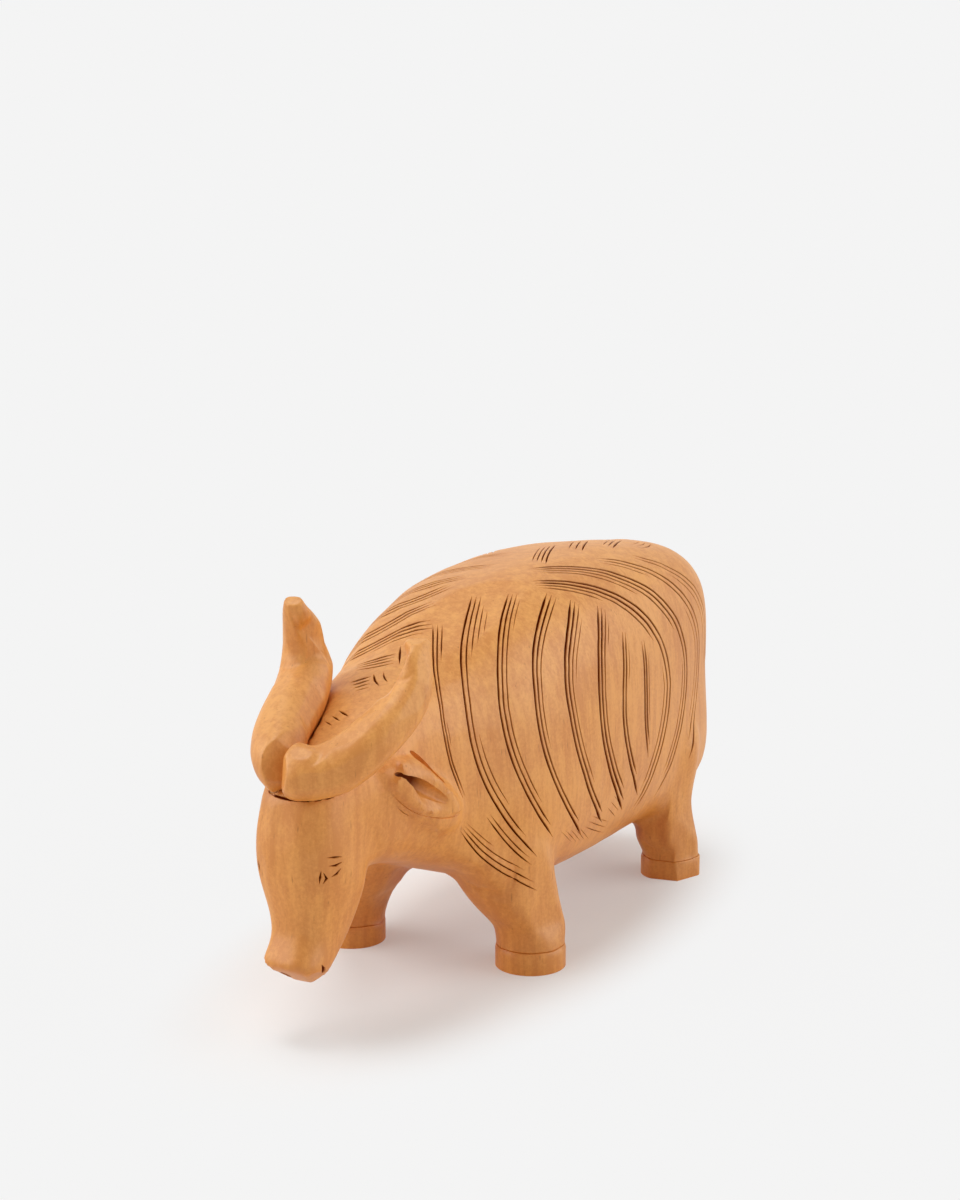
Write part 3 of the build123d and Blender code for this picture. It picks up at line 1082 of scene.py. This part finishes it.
class CarveTree:
    """Geometry nodes that cut V-shaped grooves along lines on a surface.

    The tool is a three-sided bar of radius 1, which is squeezed to the groove's size. Its point
    goes into the wood, and its width is taken where its middle lies on the surface.
    """

    NAME = "carve_lines"
    INPUTS = {
        "Geometry": "Geometry",
        "Lines": "Object",
        "Uncut": "Object",
        "Width": "Float",
        "Depth": "Float",
        "Step": "Float",
        "Wobble": "Float",
        "Seed": "Float",
        "Wood": "Material",
    }
    SWAY_NOISE = {"Scale": 90.0, "Detail": 1.0}
    PRESS_NOISE = {"Scale": 160.0, "Detail": 2.0}
    PRESS_SWING = 0.6
    PRESS_LEAST = 0.7
    TAPER_REACH = 6 * MM
    TAPER_SHARE = 0.3
    TAPER_TIP = 0.2
    TOOL_SIDES = 3
    TOOL_WIDTH = 1.155

    def __init__(self) -> None:
        """Builds the tree once."""
        self.tree = bpy.data.node_groups.new(self.NAME, "GeometryNodeTree")
        self.sockets = add_sockets(self.tree, "INPUT", self.INPUTS)
        add_sockets(self.tree, "OUTPUT", {"Geometry": "Geometry"})
        self.given = add_node(self.tree, "NodeGroupInput").outputs
        self.place = add_node(self.tree, "GeometryNodeInputPosition").outputs[0]
        self.finish(self.cut_out(self.chips(self.laid_line(), self.pressure())))

    def noise(self, kind: dict[str, float]) -> Node:
        """A noise that the tree's seed fixes."""
        values = {"Vector": self.place, "W": self.given["Seed"]} | kind
        return add_node(self.tree, "ShaderNodeTexNoise", noise_dimensions="4D", values=values)

    def on_surface(self, value: NodeSocket, place: NodeSocket) -> NodeSocket:
        """A value of the nearest point of the surface.

        Args:
            value: What is read there.
            place: Where the nearest point is looked for.

        Returns:
            The output socket.
        """
        values = {"Mesh": self.given["Geometry"], "Value": value, "Sample Position": place}
        kind = "GeometryNodeSampleNearestSurface"
        return add_node(self.tree, kind, data_type="FLOAT_VECTOR", values=values).outputs["Value"]

    def laid_line(self) -> NodeSocket:
        """The lines, cut into even steps, swayed a little and laid on the surface.

        Returns:
            The output socket of the curves, which face outward.
        """
        tree, given, place = self.tree, self.given, self.place
        lines = add_node(tree, "GeometryNodeObjectInfo", values={"Object": given["Lines"]})
        curve = add_node(
            tree, "GeometryNodeMeshToCurve", values={"Mesh": lines.outputs["Geometry"]}
        )
        even = add_node(
            tree,
            "GeometryNodeResampleCurve",
            mode="LENGTH",
            values={"Curve": curve.outputs[0], "Length": given["Step"]},
        )
        centred = add_node(
            tree,
            "ShaderNodeVectorMath",
            operation="SUBTRACT",
            values={0: self.noise(self.SWAY_NOISE).outputs["Color"], 1: (0.5, 0.5, 0.5)},
        )
        sway = add_node(
            tree,
            "ShaderNodeVectorMath",
            operation="SCALE",
            values={0: centred.outputs[0], "Scale": given["Wobble"]},
        )
        swayed = add_node(
            tree, "ShaderNodeVectorMath", operation="ADD", values={0: place, 1: sway.outputs[0]}
        )
        laid = add_node(
            tree,
            "GeometryNodeSetPosition",
            values={
                "Geometry": even.outputs[0],
                "Position": self.on_surface(place, swayed.outputs[0]),
            },
        )
        normal = add_node(tree, "GeometryNodeInputNormal").outputs[0]
        turned = add_node(
            tree,
            "GeometryNodeSetCurveNormal",
            mode="FREE",
            values={"Curve": laid.outputs[0], "Normal": self.on_surface(normal, place)},
        )
        return turned.outputs[0]

    def pressure(self) -> NodeSocket:
        """How hard the tool is pressed: less towards a line's ends, and a little unevenly.

        Returns:
            The output socket.
        """
        tree = self.tree
        along = add_node(tree, "GeometryNodeSplineParameter").outputs["Length"]
        whole = add_node(tree, "GeometryNodeSplineLength").outputs["Length"]
        from_end = math_node(tree, "MINIMUM", along, math_node(tree, "SUBTRACT", whole, along))
        share = math_node(tree, "MULTIPLY", whole, self.TAPER_SHARE)
        reach = math_node(tree, "MINIMUM", self.TAPER_REACH, share)
        taper = ranged(tree, from_end, (0.0, reach), (self.TAPER_TIP, 1.0), "SMOOTHSTEP")
        depth = add_node(
            tree, "GeometryNodeInputNamedAttribute", data_type="FLOAT", values={"Name": "depth"}
        ).outputs["Attribute"]
        uneven = self.noise(self.PRESS_NOISE).outputs["Fac"]
        pressed = math_node(tree, "MULTIPLY_ADD", uneven, self.PRESS_SWING, self.PRESS_LEAST)
        return math_node(tree, "MULTIPLY", math_node(tree, "MULTIPLY", taper, depth), pressed)

    def chips(self, line: NodeSocket, radius: NodeSocket) -> NodeSocket:
        """The wood that the tool takes out along the lines.

        Args:
            line: The curves.
            radius: How hard the tool is pressed.

        Returns:
            The output socket of the mesh.
        """
        tree = self.tree
        sized = add_node(
            tree, "GeometryNodeSetCurveRadius", values={"Curve": line, "Radius": radius}
        )
        bar = add_node(
            tree,
            "GeometryNodeCurvePrimitiveCircle",
            values={"Resolution": self.TOOL_SIDES, "Radius": 1.0},
        )
        width = math_node(tree, "DIVIDE", self.given["Width"], self.TOOL_WIDTH)
        squeeze = add_node(
            tree, "ShaderNodeCombineXYZ", values={"X": self.given["Depth"], "Y": width, "Z": 1.0}
        )
        tool = add_node(
            tree,
            "GeometryNodeTransform",
            values={
                "Geometry": bar.outputs[0],
                "Rotation": (0, 0, math.pi),
                "Scale": squeeze.outputs[0],
            },
        )
        swept = add_node(
            tree,
            "GeometryNodeCurveToMesh",
            values={
                "Curve": sized.outputs[0],
                "Profile Curve": tool.outputs[0],
                "Fill Caps": True,
                "Scale": radius,
            },
        )
        return swept.outputs[0]

    def cut_out(self, chips: NodeSocket) -> NodeSocket:
        """The surface without the chips, which notes how deep it lies under the uncut one.

        Args:
            chips: The wood that is taken out.

        Returns:
            The output socket of the mesh.
        """
        tree = self.tree
        cut = add_node(tree, "GeometryNodeMeshBoolean", operation="DIFFERENCE", solver="MANIFOLD")
        tree.links.new(self.given["Geometry"], cut.inputs["Mesh 1"])
        tree.links.new(chips, cut.inputs["Mesh 2"])
        uncut = add_node(tree, "GeometryNodeObjectInfo", values={"Object": self.given["Uncut"]})
        sunk = add_node(
            tree,
            "GeometryNodeProximity",
            target_element="FACES",
            values={"Geometry": uncut.outputs["Geometry"]},
        )
        marked = add_node(
            tree,
            "GeometryNodeStoreNamedAttribute",
            data_type="FLOAT",
            domain="POINT",
            values={
                "Geometry": cut.outputs["Mesh"],
                "Name": "cut_depth",
                "Value": sunk.outputs["Distance"],
            },
        )
        return marked.outputs[0]

    def finish(self, cut: NodeSocket) -> None:
        """Ends the tree with real geometry in its wood.

        Args:
            cut: The finished surface.
        """
        tree = self.tree
        real = add_node(tree, "GeometryNodeRealizeInstances", values={"Geometry": cut})
        dressed = add_node(
            tree,
            "GeometryNodeSetMaterial",
            values={"Geometry": real.outputs[0], "Material": self.given["Wood"]},
        )
        out = add_node(tree, "NodeGroupOutput")
        tree.links.new(dressed.outputs[0], out.inputs["Geometry"])

    def carve(self, made: Object, **values: object) -> Object:
        """Cuts lines into an object.

        Args:
            made: The object.
            **values: The tree's inputs by name.

        Returns:
            The same object, as a plain mesh.
        """
        modifier = made.modifiers.new(self.NAME, "NODES")
        modifier.node_group = self.tree
        for name, value in values.items():
            modifier[self.sockets[name]] = value
        return flattened(made)


# Depths over which the cut lines darken: partly a stain of the cut wood, partly painted shade in
# the grooves.
CUT_STAIN_AND_SHADE = (0.02 * MM, 0.45 * MM)
# The ear hollows are painted darker with depth: painted shade in their deep ends.
HOLLOW_PAINTED_SHADE = (0.5 * MM, 2.8 * MM)
HOLLOW_SHADE_MOST = 0.92


def stain_and_shade_masks(tree: NodeTree) -> tuple[NodeSocket, NodeSocket]:
    """Where a tool has gone into the wood and gets a dark colour, partly stain and partly painted
    shade.

    Args:
        tree: The tree that the masks go into.

    Returns:
        The shares of the cut lines' stain and painted shade and of the hollows' painted shade, from
        0 to 1.
    """
    lines = ranged(tree, attribute(tree, "cut_depth"), CUT_STAIN_AND_SHADE)
    hollows = ranged(tree, attribute(tree, "hollow"), HOLLOW_PAINTED_SHADE, (0.0, HOLLOW_SHADE_MOST))
    return lines, hollows


@dataclass(frozen=True)
class WoodGrain:
    """The look that all the woods share: mottling, upright streaks, specks and fine pores.

    It carries painted shade, darker and redder in sheltered places, and painted light, paler where
    it is open.
    It is dark where a tool has cut into it: partly stain and partly painted shade in the cut lines,
    and painted shade in the gouged hollows.
    A noise is given as its scale, detail and roughness, and a draw is the share of the scale that
    is left along the grain.
    """

    patches: Point = (28.0, 4.0, 0.6)
    streaks: Point = (330.0, 3.0, 0.65)
    streak_draw: float = 0.09
    streak_tone: float = 0.5
    streak_relief: float = 0.5
    specks: Point = (900.0, 2.0, 0.7)
    speck_tone: float = 0.32
    pore_scale: float = 640.0
    pore_draw: float = 0.14
    pore_size: Span = (0.06, 0.20)
    pore_gate: Point = (420.0, 1.0, 0.5)
    pore_gate_span: Span = (0.52, 0.62)
    pore_tint: Colour = (0.45, 0.32, 0.22, 1)
    noise_span: Span = (0.3, 0.7)
    painted_shade_span: Span = (0.55, 0.2)
    painted_light_span: Span = (0.6, 1.0)

    def group(self) -> NodeTree:
        """Builds the shader node group.

        Returns:
            The group.
        """
        tree = bpy.data.node_groups.new("wood_grain", "ShaderNodeTree")
        colours = dict.fromkeys(("Light", "Dark", "Rich", "Bleached", "Cut"), "Color")
        add_sockets(tree, "INPUT", colours | {"Streaks": "Float", "Pores": "Float"})
        add_sockets(tree, "OUTPUT", {"Colour": "Color", "Pore": "Float", "Height": "Float"})
        given = add_node(tree, "NodeGroupInput").outputs
        place = add_node(tree, "ShaderNodeTexCoord").outputs["Object"]
        pore = math_node(tree, "MULTIPLY", self.pores(tree, place), given["Pores"])
        drawn = self.drawn(tree, place, self.streak_draw)
        lined = self.swing(tree, self.noise(tree, drawn, self.streaks), self.streak_tone)
        flecked = self.swing(tree, self.noise(tree, place, self.specks), self.speck_tone)
        mottled = ranged(tree, self.noise(tree, place, self.patches), self.noise_span)
        streaked = math_node(tree, "MULTIPLY", lined, given["Streaks"])
        tone = math_node(tree, "ADD", mottled, math_node(tree, "ADD", flecked, streaked))
        colour = blended(tree, tone, given["Light"], given["Dark"])
        colour = blended(tree, pore, colour, self.pore_tint, "MULTIPLY")
        # Paints shade into sheltered places and light onto open ones, from how open each point is.
        open_share = attribute(tree, "exposed")
        for span, tint in ((self.painted_shade_span, "Rich"), (self.painted_light_span, "Bleached")):
            colour = blended(tree, ranged(tree, open_share, span), colour, given[tint], "MULTIPLY")
        # The cut lines get a dark colour that is partly stain and partly painted shade; the ear
        # hollows get painted shade.
        for mask in stain_and_shade_masks(tree):
            colour = blended(tree, mask, colour, given["Cut"])
        relief = math_node(tree, "MULTIPLY", lined, self.streak_relief)
        out = add_node(tree, "NodeGroupOutput")
        tree.links.new(colour, out.inputs["Colour"])
        tree.links.new(pore, out.inputs["Pore"])
        tree.links.new(math_node(tree, "SUBTRACT", relief, pore), out.inputs["Height"])
        return tree

    def pores(self, tree: NodeTree, place: NodeSocket) -> NodeSocket:
        """Short dark pores along the grain, in some places only.

        Args:
            tree: The tree that they go into.
            place: Where the grain is read.

        Returns:
            The output socket of their mask.
        """
        fine = self.drawn(tree, place, self.pore_draw)
        dots = add_node(
            tree,
            "ShaderNodeTexVoronoi",
            feature="F1",
            values={"Vector": fine, "Scale": self.pore_scale},
        ).outputs["Distance"]
        gate = ranged(tree, self.noise(tree, fine, self.pore_gate), self.pore_gate_span)
        return math_node(tree, "MULTIPLY", ranged(tree, dots, self.pore_size, (1.0, 0.0)), gate)

    def swing(self, tree: NodeTree, noise: NodeSocket, tone: float) -> NodeSocket:
        """A noise that swings to both sides of nothing."""
        return ranged(tree, noise, self.noise_span, (-tone, tone))

    @staticmethod
    def noise(tree: NodeTree, place: NodeSocket, kind: Point) -> NodeSocket:
        """A noise of the given scale, detail and roughness."""
        values = {"Vector": place} | dict(zip(("Scale", "Detail", "Roughness"), kind))
        return add_node(tree, "ShaderNodeTexNoise", values=values).outputs["Fac"]

    @staticmethod
    def drawn(tree: NodeTree, place: NodeSocket, draw: float) -> NodeSocket:
        """Places drawn out along the upright grain."""
        values = {"Vector": place, "Scale": (1.0, 1.0, draw)}
        return add_node(tree, "ShaderNodeMapping", values=values).outputs[0]


@dataclass(frozen=True)
class WoodFinish:
    """A satin finish on bare carved wood, dull where a tool has cut into it."""

    name: str
    light: Colour
    dark: Colour
    # The dark colour of the cut lines, partly stain and partly painted shade, and of the painted
    # shade in the ear hollows.
    cut: Colour
    # Tints that paint shade into sheltered places and light onto open ones.
    painted_shade: Colour = (0.86, 0.62, 0.40, 1)
    painted_light: Colour = (1.0, 1.15, 1.7, 1)
    streaks: float = 1.0
    pores: float = 0.5
    roughness: float = 0.45
    pore_roughness: float = 0.2
    sheen: float = 0.6
    bump: float = 0.3
    bump_height: float = 0.15 * MM

    def material(self, grain: NodeTree) -> Material:
        """Makes the material.

        Args:
            grain: The grain that the woods share.

        Returns:
            The material.
        """
        made = bpy.data.materials.new(self.name)
        made.use_nodes = True
        tree = made.node_tree
        tree.nodes.clear()
        wood = add_node(
            tree,
            "ShaderNodeGroup",
            node_tree=grain,
            values={
                "Light": self.light,
                "Dark": self.dark,
                "Rich": self.painted_shade,
                "Bleached": self.painted_light,
                "Cut": self.cut,
                "Streaks": self.streaks,
                "Pores": self.pores,
            },
        ).outputs
        rough = math_node(tree, "MULTIPLY", wood["Pore"], self.pore_roughness)
        bump = add_node(
            tree,
            "ShaderNodeBump",
            values={
                "Strength": self.bump,
                "Distance": self.bump_height,
                "Height": wood["Height"],
            },
        )
        untouched = math_node(tree, "SUBTRACT", 1.0, math_node(tree, "MAXIMUM", *stain_and_shade_masks(tree)))
        surface = add_node(
            tree,
            "ShaderNodeBsdfPrincipled",
            values={
                "Base Color": wood["Colour"],
                "Roughness": math_node(tree, "ADD", rough, self.roughness),
                "Normal": bump.outputs[0],
                "Specular IOR Level": math_node(tree, "MULTIPLY", untouched, self.sheen),
            },
        )
        out = add_node(tree, "ShaderNodeOutputMaterial")
        tree.links.new(surface.outputs[0], out.inputs["Surface"])
        return made


BODY_WOOD = WoodFinish(
    "body_wood", (0.76, 0.300, 0.049, 1), (0.62, 0.207, 0.027, 1), (0.15, 0.018, 0.001, 1)
)
HORN_WOOD = WoodFinish(
    "horn_wood", (0.77, 0.310, 0.054, 1), (0.63, 0.217, 0.030, 1), (0.15, 0.018, 0.001, 1)
)
DOWEL_WOOD = WoodFinish(
    "dowel_wood", (0.62, 0.42, 0.22, 1), (0.52, 0.33, 0.15, 1), (0.2, 0.08, 0.02, 1)
)


@dataclass
class CarvedBody:
    """The body block with its softened joins, knife flats and cut lines."""

    wood: Material
    tree: CarveTree
    voxel: float = 1.4 * MM
    fill_rounds: int = 8
    ledge_rounds: int = 25
    join_limit: float = 0.12 * MM
    join_spread: int = 6
    join_rounds: int = 30
    rounds_before_flats: int = 3
    rounds_after_flats: int = 2
    flat_spacing: float = 13 * MM
    flat_strength: float = 0.5
    flat_seed: int = 7
    hoof_top: float = 7.2 * MM
    hoof_reach: float = 20 * MM
    hoof_flare: float = 0.35 * MM
    hoof_waves: int = 5
    hoof_steepness: float = 0.5
    hoof_edge: Span = (1.3 * MM, 1.5 * MM)
    sole_height: float = 0.7 * MM
    gouge_faces: tuple[int, int] = (28, 16)
    # How the hollows' painted shade fades from their deep end towards their shallow end.
    hollow_start: float = 1.25
    hollow_fall: float = 1.3
    hollow_least: float = 0.1
    hollow_reach: float = 6 * MM
    groove_width: float = 0.85 * MM
    groove_depth: float = 0.75 * MM
    groove_step: float = 1.8 * MM
    groove_wobble: float = 0.3 * MM
    groove_seed: float = 3.0
    sharp_angle: float = 32.0
    made: Object = field(init=False)
    openness: np.ndarray = field(init=False)
    whole: KDTree = field(init=False)

    def build(self) -> Object:
        """Makes the carved body.

        Returns:
            The finished object.
        """
        self.made = remeshed(node_copy("body", "carved_body"), self.voxel)
        self.shape()
        self.scoop()
        self.carve()
        self.dress()
        return self.made

    def shape(self) -> None:
        """Softens the joins between the legs, ears and trunk and leaves the knife's flats."""
        skin = Skin(self.made.data)
        ledges = HOOF_LEDGES.holds(skin.points).astype(float)
        calm = 1.0 - (POLL.holds(skin.points) | EARS.holds(skin.points))
        skin.fill(self.fill_rounds, calm)
        skin.smooth(self.ledge_rounds, ledges)
        skin.smooth(self.join_rounds, skin.hollows(self.join_limit, self.join_spread) * calm)
        skin.smooth(self.rounds_before_flats, calm)
        skin.facet(self.flat_spacing, self.flat_strength, self.flat_seed)
        skin.smooth(self.rounds_after_flats, calm)
        skin.press(FACE_FLATS + WITHERS_FLATS + MUZZLE_FLATS)
        skin.lift(EAR_LEAF, EAR_RISE, EAR_RIM)
        self.true_hooves(skin)
        skin.press(LEG_FLATS)
        # How open each point is, which the woods turn into painted shade and painted light.
        self.openness = skin.exposed()
        self.whole = KDTree(len(skin.points))
        for i, point in enumerate(skin.points):
            self.whole.insert(point, i)
        self.whole.balance()
        skin.store()

    def true_hooves(self, skin: Skin) -> None:
        """Gives each hoof an even wall, a crisp lower edge and a flat sole.

        Args:
            skin: The points of the body.
        """
        normals = skin.normals()
        for x, y in HOOF_CENTRES:
            out = skin.points[:, :2] - np.array((x, y)) * MM
            far = np.linalg.norm(out, axis=1)
            turn = np.arctan2(out[:, 1], out[:, 0])
            hoof = (skin.points[:, 2] < self.hoof_top) & (far < self.hoof_reach)
            turns = range(self.hoof_waves)
            waves = np.stack([f(i * turn) for i in turns for f in (np.cos, np.sin)], axis=1)
            wall = hoof & (np.abs(normals[:, 2]) < self.hoof_steepness)
            shares = np.linalg.lstsq(waves[wall], far[wall], rcond=None)[0]
            reach = waves @ shares + self.hoof_flare
            height, width = self.hoof_edge
            edge = hoof & (skin.points[:, 2] < height) & (far > reach - width)
            moved = wall | edge
            skin.points[moved, :2] += out[moved] * (reach / np.maximum(far, MM) - 1)[moved, None]
            skin.points[edge | (hoof & (skin.points[:, 2] < self.sole_height)), 2] = 0

    def scoop(self) -> None:
        """Takes the hollows of the ears out and notes the painted shade of their deep ends."""
        before = surface_tree(self.made.data)
        for gouge in EAR_GOUGES:
            tool = mesh_object("gouge", gouge.mesh(*self.gouge_faces))
            cut = self.made.modifiers.new("scoop", "BOOLEAN")
            cut.object = tool
            cut.solver = "MANIFOLD"
            flattened(self.made)
            bpy.data.objects.remove(tool)
        self.note_hollow_shade(before, EAR_GOUGES[0])

    def note_hollow_shade(self, before: BVHTree, gouge: Gouge) -> None:
        """Notes painted shade for the hollows: their depth, less so towards their shallow end.

        Args:
            before: The surface before it was scooped.
            gouge: The scoop that the depth follows.
        """
        points = Skin(self.made.data).points
        sunk = np.array([before.find_nearest(Vector(p))[3] for p in points])
        deep, shallow = (np.array(end) * MM for end in (gouge.deep_end, gouge.shallow_end))
        length = shallow - deep
        out = np.column_stack((np.abs(points[:, 0]), points[:, 1:])) - deep
        along = out @ length / (length @ length)
        near = np.linalg.norm(out - along[:, None] * length, axis=1) < self.hollow_reach
        share = np.clip(self.hollow_start - self.hollow_fall * along, self.hollow_least, 1)
        store_values(self.made.data, "hollow", sunk * share * near)

    def carve(self) -> None:
        """Cuts the lines, in rounds that don't cross within themselves."""
        groups = FLANK_CUTS + HAUNCH_CUTS + SHOULDER_CUTS + BELLY_NICKS + BELLY_CUTS
        groups += FAR_FLANK_CUTS + FAR_HAUNCH_CUTS + SPINE_CUTS + NECK_CUTS
        groups += SEAM_CUTS + EYE_CUTS + NOSTRIL_CUTS + EAR_CUTS + hoof_cuts()
        LOG.info("%d groups of cuts", len(groups))
        uncut = mesh_object("uncut_body", self.made.data.copy())
        for turn in Pass:
            lines = CutLines(self.made)
            guide = lines.line_object("guide_lines", [g for g in groups if g.carved is turn])
            self.tree.carve(
                self.made,
                Lines=guide,
                Uncut=uncut,
                Width=self.groove_width,
                Depth=self.groove_depth,
                Step=self.groove_step,
                Wobble=self.groove_wobble,
                Seed=self.groove_seed + turn.value,
                Wood=self.wood,
            )
            bpy.data.objects.remove(guide)
            if turn is Pass.SHAPE:
                uncut.data = self.made.data.copy()
        bpy.data.objects.remove(uncut)

    def dress(self) -> None:
        """Sets the shading and tells the frame what the piece stands for."""
        mesh = self.made.data
        nearest = [self.whole.find(v.co)[1] for v in mesh.vertices]
        # Carries the openness over for the painted shade and painted light.
        store_values(mesh, "exposed", self.openness[nearest])
        mesh.shade_smooth()
        mesh.set_sharp_from_angle(angle=math.radians(self.sharp_angle))
        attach(self.made, ROOT)
        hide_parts("body")


@dataclass
class CarvedHorn:
    """One horn, with the ridges that the knife left along it."""

    node: str
    flats: tuple[KnifeFlat, ...]
    wood: Material
    voxel: float = 0.55 * MM
    rounds: int = 2
    last_rounds: int = 1
    flat_spacing: float = 10 * MM
    flat_strength: float = 0.35
    flat_seed: int = 11
    made: Object = field(init=False)

    def build(self) -> Object:
        """Makes the horn.

        Returns:
            The finished object.
        """
        self.made = remeshed(node_copy(self.node, "carved_" + self.node), self.voxel)
        skin = Skin(self.made.data)
        skin.smooth(self.rounds)
        skin.facet(self.flat_spacing, self.flat_strength, self.flat_seed)
        skin.smooth(self.rounds)
        skin.press(self.flats)
        skin.smooth(self.last_rounds)
        # How open each point is, for the horn wood's painted shade and painted light.
        store_values(self.made.data, "exposed", skin.exposed())
        skin.store()
        self.made.data.materials.append(self.wood)
        self.made.data.shade_smooth()
        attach(self.made, ROOT)
        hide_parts(self.node)
        return self.made


@dataclass
class HornDowel:
    """A dowel hidden in the seat of a horn, which keeps its solid's shape."""

    node: str
    wood: Material

    def build(self) -> Object:
        """Dresses the dowel.

        Returns:
            The dowel's object.
        """
        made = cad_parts[self.node]
        made.data.materials.clear()
        made.data.materials.append(self.wood)
        return made


@dataclass
class Studio:
    """A pale floor, soft light and a camera at the photograph's angle.

    Places and sizes are in millimetres, but for the floor's size and the camera's clipping, which
    are in metres. Each light is a name, a strength, where it stands round the cow and how high,
    and how wide it looks.
    """

    target: Point = (-15.3, 32.45, 108.5)
    azimuth: float = 28.8
    elevation: float = 12.9
    distance: float = 910.0
    lens: float = 78.0
    sensor: float = 36.0
    clip: Span = (0.01, 1000.0)
    floor_size: float = 800.0
    floor_colour: Colour = (0.86, 0.86, 0.86, 1)
    floor_roughness: float = 0.9
    floor_sheen: float = 0.1
    backdrop: float = 0.905
    shadow_fade: Span = (0.26, 0.96)
    shadow_reach: Point = (70.0, 165.0, 1.0)
    shadow_edge: Span = (0.6, 1.1)
    sky: float = 0.37
    sky_colour: Colour = (1.0, 0.93, 0.84, 1)
    lamp_colour: Point = (0.96, 0.985, 1.0)
    lights: tuple[tuple[str, float, float, float, float], ...] = (
        ("top_light", 1.0, -90.0, 80.0, 25.0),
        ("left_light", 1.6, -60.0, 30.0, 60.0),
        ("right_light", 1.5, 116.0, 16.0, 60.0),
    )

    def build(self) -> None:
        """Makes the floor, the lights and the camera."""
        scene = bpy.context.scene
        scene.view_settings.view_transform = "Standard"
        self.floor()
        self.world(scene)
        for light in self.lights:
            self.sun(*light)
        self.camera(scene)

    def floor(self) -> None:
        """Lays the floor under the hooves."""
        half = self.floor_size / 2
        mesh = bpy.data.meshes.new("floor")
        corners = [(-half, -half, 0), (half, -half, 0), (half, half, 0), (-half, half, 0)]
        mesh.from_pydata(corners, [], [(0, 1, 2, 3)])
        made = bpy.data.materials.new("pale_floor")
        made.use_nodes = True
        tree = made.node_tree
        tree.nodes.clear()
        matt = add_node(
            tree,
            "ShaderNodeBsdfPrincipled",
            values={
                "Base Color": self.floor_colour,
                "Roughness": self.floor_roughness,
                "Specular IOR Level": self.floor_sheen,
            },
        )
        pale = add_node(tree, "ShaderNodeEmission", values={"Strength": self.backdrop})
        place = add_node(tree, "ShaderNodeTexCoord").outputs["Object"]
        spread = add_node(
            tree,
            "ShaderNodeVectorMath",
            operation="DIVIDE",
            values={0: place, 1: Vector(self.shadow_reach) * MM},
        )
        away = add_node(
            tree, "ShaderNodeVectorMath", operation="LENGTH", values={0: spread.outputs[0]}
        ).outputs["Value"]
        fade = ranged(tree, away, self.shadow_edge, self.shadow_fade, "SMOOTHSTEP")
        seen = math_node(tree, "MULTIPLY", self.seen(tree), fade)
        mixed = add_node(
            tree,
            "ShaderNodeMixShader",
            values={0: seen, 1: matt.outputs[0], 2: pale.outputs[0]},
        )
        out = add_node(tree, "ShaderNodeOutputMaterial")
        tree.links.new(mixed.outputs[0], out.inputs["Surface"])
        mesh.materials.append(made)
        floor = mesh_object("floor", mesh)

    @staticmethod
    def seen(tree: NodeTree) -> NodeSocket:
        """A mask of the rays that show the background, directly or in a sheen."""
        path = add_node(tree, "ShaderNodeLightPath").outputs
        return math_node(tree, "MAXIMUM", path["Is Camera Ray"], path["Is Glossy Ray"])

    def world(self, scene: Scene) -> None:
        """Surrounds the scene with even, slightly warm light that is seen as a white backdrop.

        Args:
            scene: The scene.
        """
        made = bpy.data.worlds.new("studio")
        made.use_nodes = True
        tree = made.node_tree
        tree.nodes.clear()
        seen = self.seen(tree)
        strength = ranged(tree, seen, (0.0, 1.0), (self.sky, self.backdrop))
        tint = blended(tree, seen, self.sky_colour, (1, 1, 1, 1))
        light = add_node(tree, "ShaderNodeBackground", values={"Color": tint, "Strength": strength})
        out = add_node(tree, "ShaderNodeOutputWorld")
        tree.links.new(light.outputs[0], out.inputs["Surface"])
        scene.world = made

    def sun(
        self, name: str, strength: float, azimuth: float, elevation: float, softness: float
    ) -> None:
        """Adds a wide soft light from afar.

        Args:
            name: The light's name.
            strength: Its strength.
            azimuth: Where it stands round the cow, in degrees, as for the camera.
            elevation: How high it stands, in degrees.
            softness: How wide it looks, in degrees.
        """
        made = bpy.data.lights.new(name, "SUN")
        made.energy = strength
        made.color = self.lamp_colour
        made.angle = math.radians(softness)
        lamp = bpy.data.objects.new(name, made)
        lamp.rotation_mode = "QUATERNION"
        lamp.rotation_quaternion = self.direction(azimuth, elevation).to_track_quat("Z", "Y")
        bpy.context.scene.collection.objects.link(lamp)

    def camera(self, scene: Scene) -> None:
        """Sets up the camera.

        Args:
            scene: The scene.
        """
        made = bpy.data.cameras.new("camera")
        made.lens = self.lens
        made.sensor_width = self.sensor
        made.clip_start, made.clip_end = self.clip
        camera = bpy.data.objects.new("camera", made)
        back = self.direction(self.azimuth, self.elevation)
        camera.location = (Vector(self.target) + back * self.distance) * MM
        camera.rotation_mode = "QUATERNION"
        camera.rotation_quaternion = back.to_track_quat("Z", "Y")
        scene.collection.objects.link(camera)
        scene.camera = camera

    @staticmethod
    def direction(azimuth: float, elevation: float) -> Vector:
        """The direction from the cow to a place round it."""
        a, e = math.radians(azimuth), math.radians(elevation)
        return Vector((math.sin(a) * math.cos(e), -math.cos(a) * math.cos(e), math.sin(e)))


def main() -> None:
    """Builds every piece and the studio round it."""
    logging.basicConfig(level=logging.INFO, format="%(name)s: %(message)s")
    grain = WoodGrain().group()
    finishes = (BODY_WOOD, HORN_WOOD, DOWEL_WOOD)
    body_wood, horn_wood, dowel_wood = (finish.material(grain) for finish in finishes)
    pieces = [
        CarvedBody(body_wood, CarveTree()),
        CarvedHorn("left_horn", LEFT_HORN_FLATS, horn_wood),
        CarvedHorn("right_horn", RIGHT_HORN_FLATS, horn_wood),
        HornDowel("left_horn_dowel", dowel_wood),
        HornDowel("right_horn_dowel", dowel_wood),
    ]
    for piece in pieces:
        made = piece.build()
        made.data.calc_loop_triangles()
        LOG.info("%s: %d triangles", made.name, len(made.data.loop_triangles))
    Studio().build()


if __name__ == "__main__":
    main()
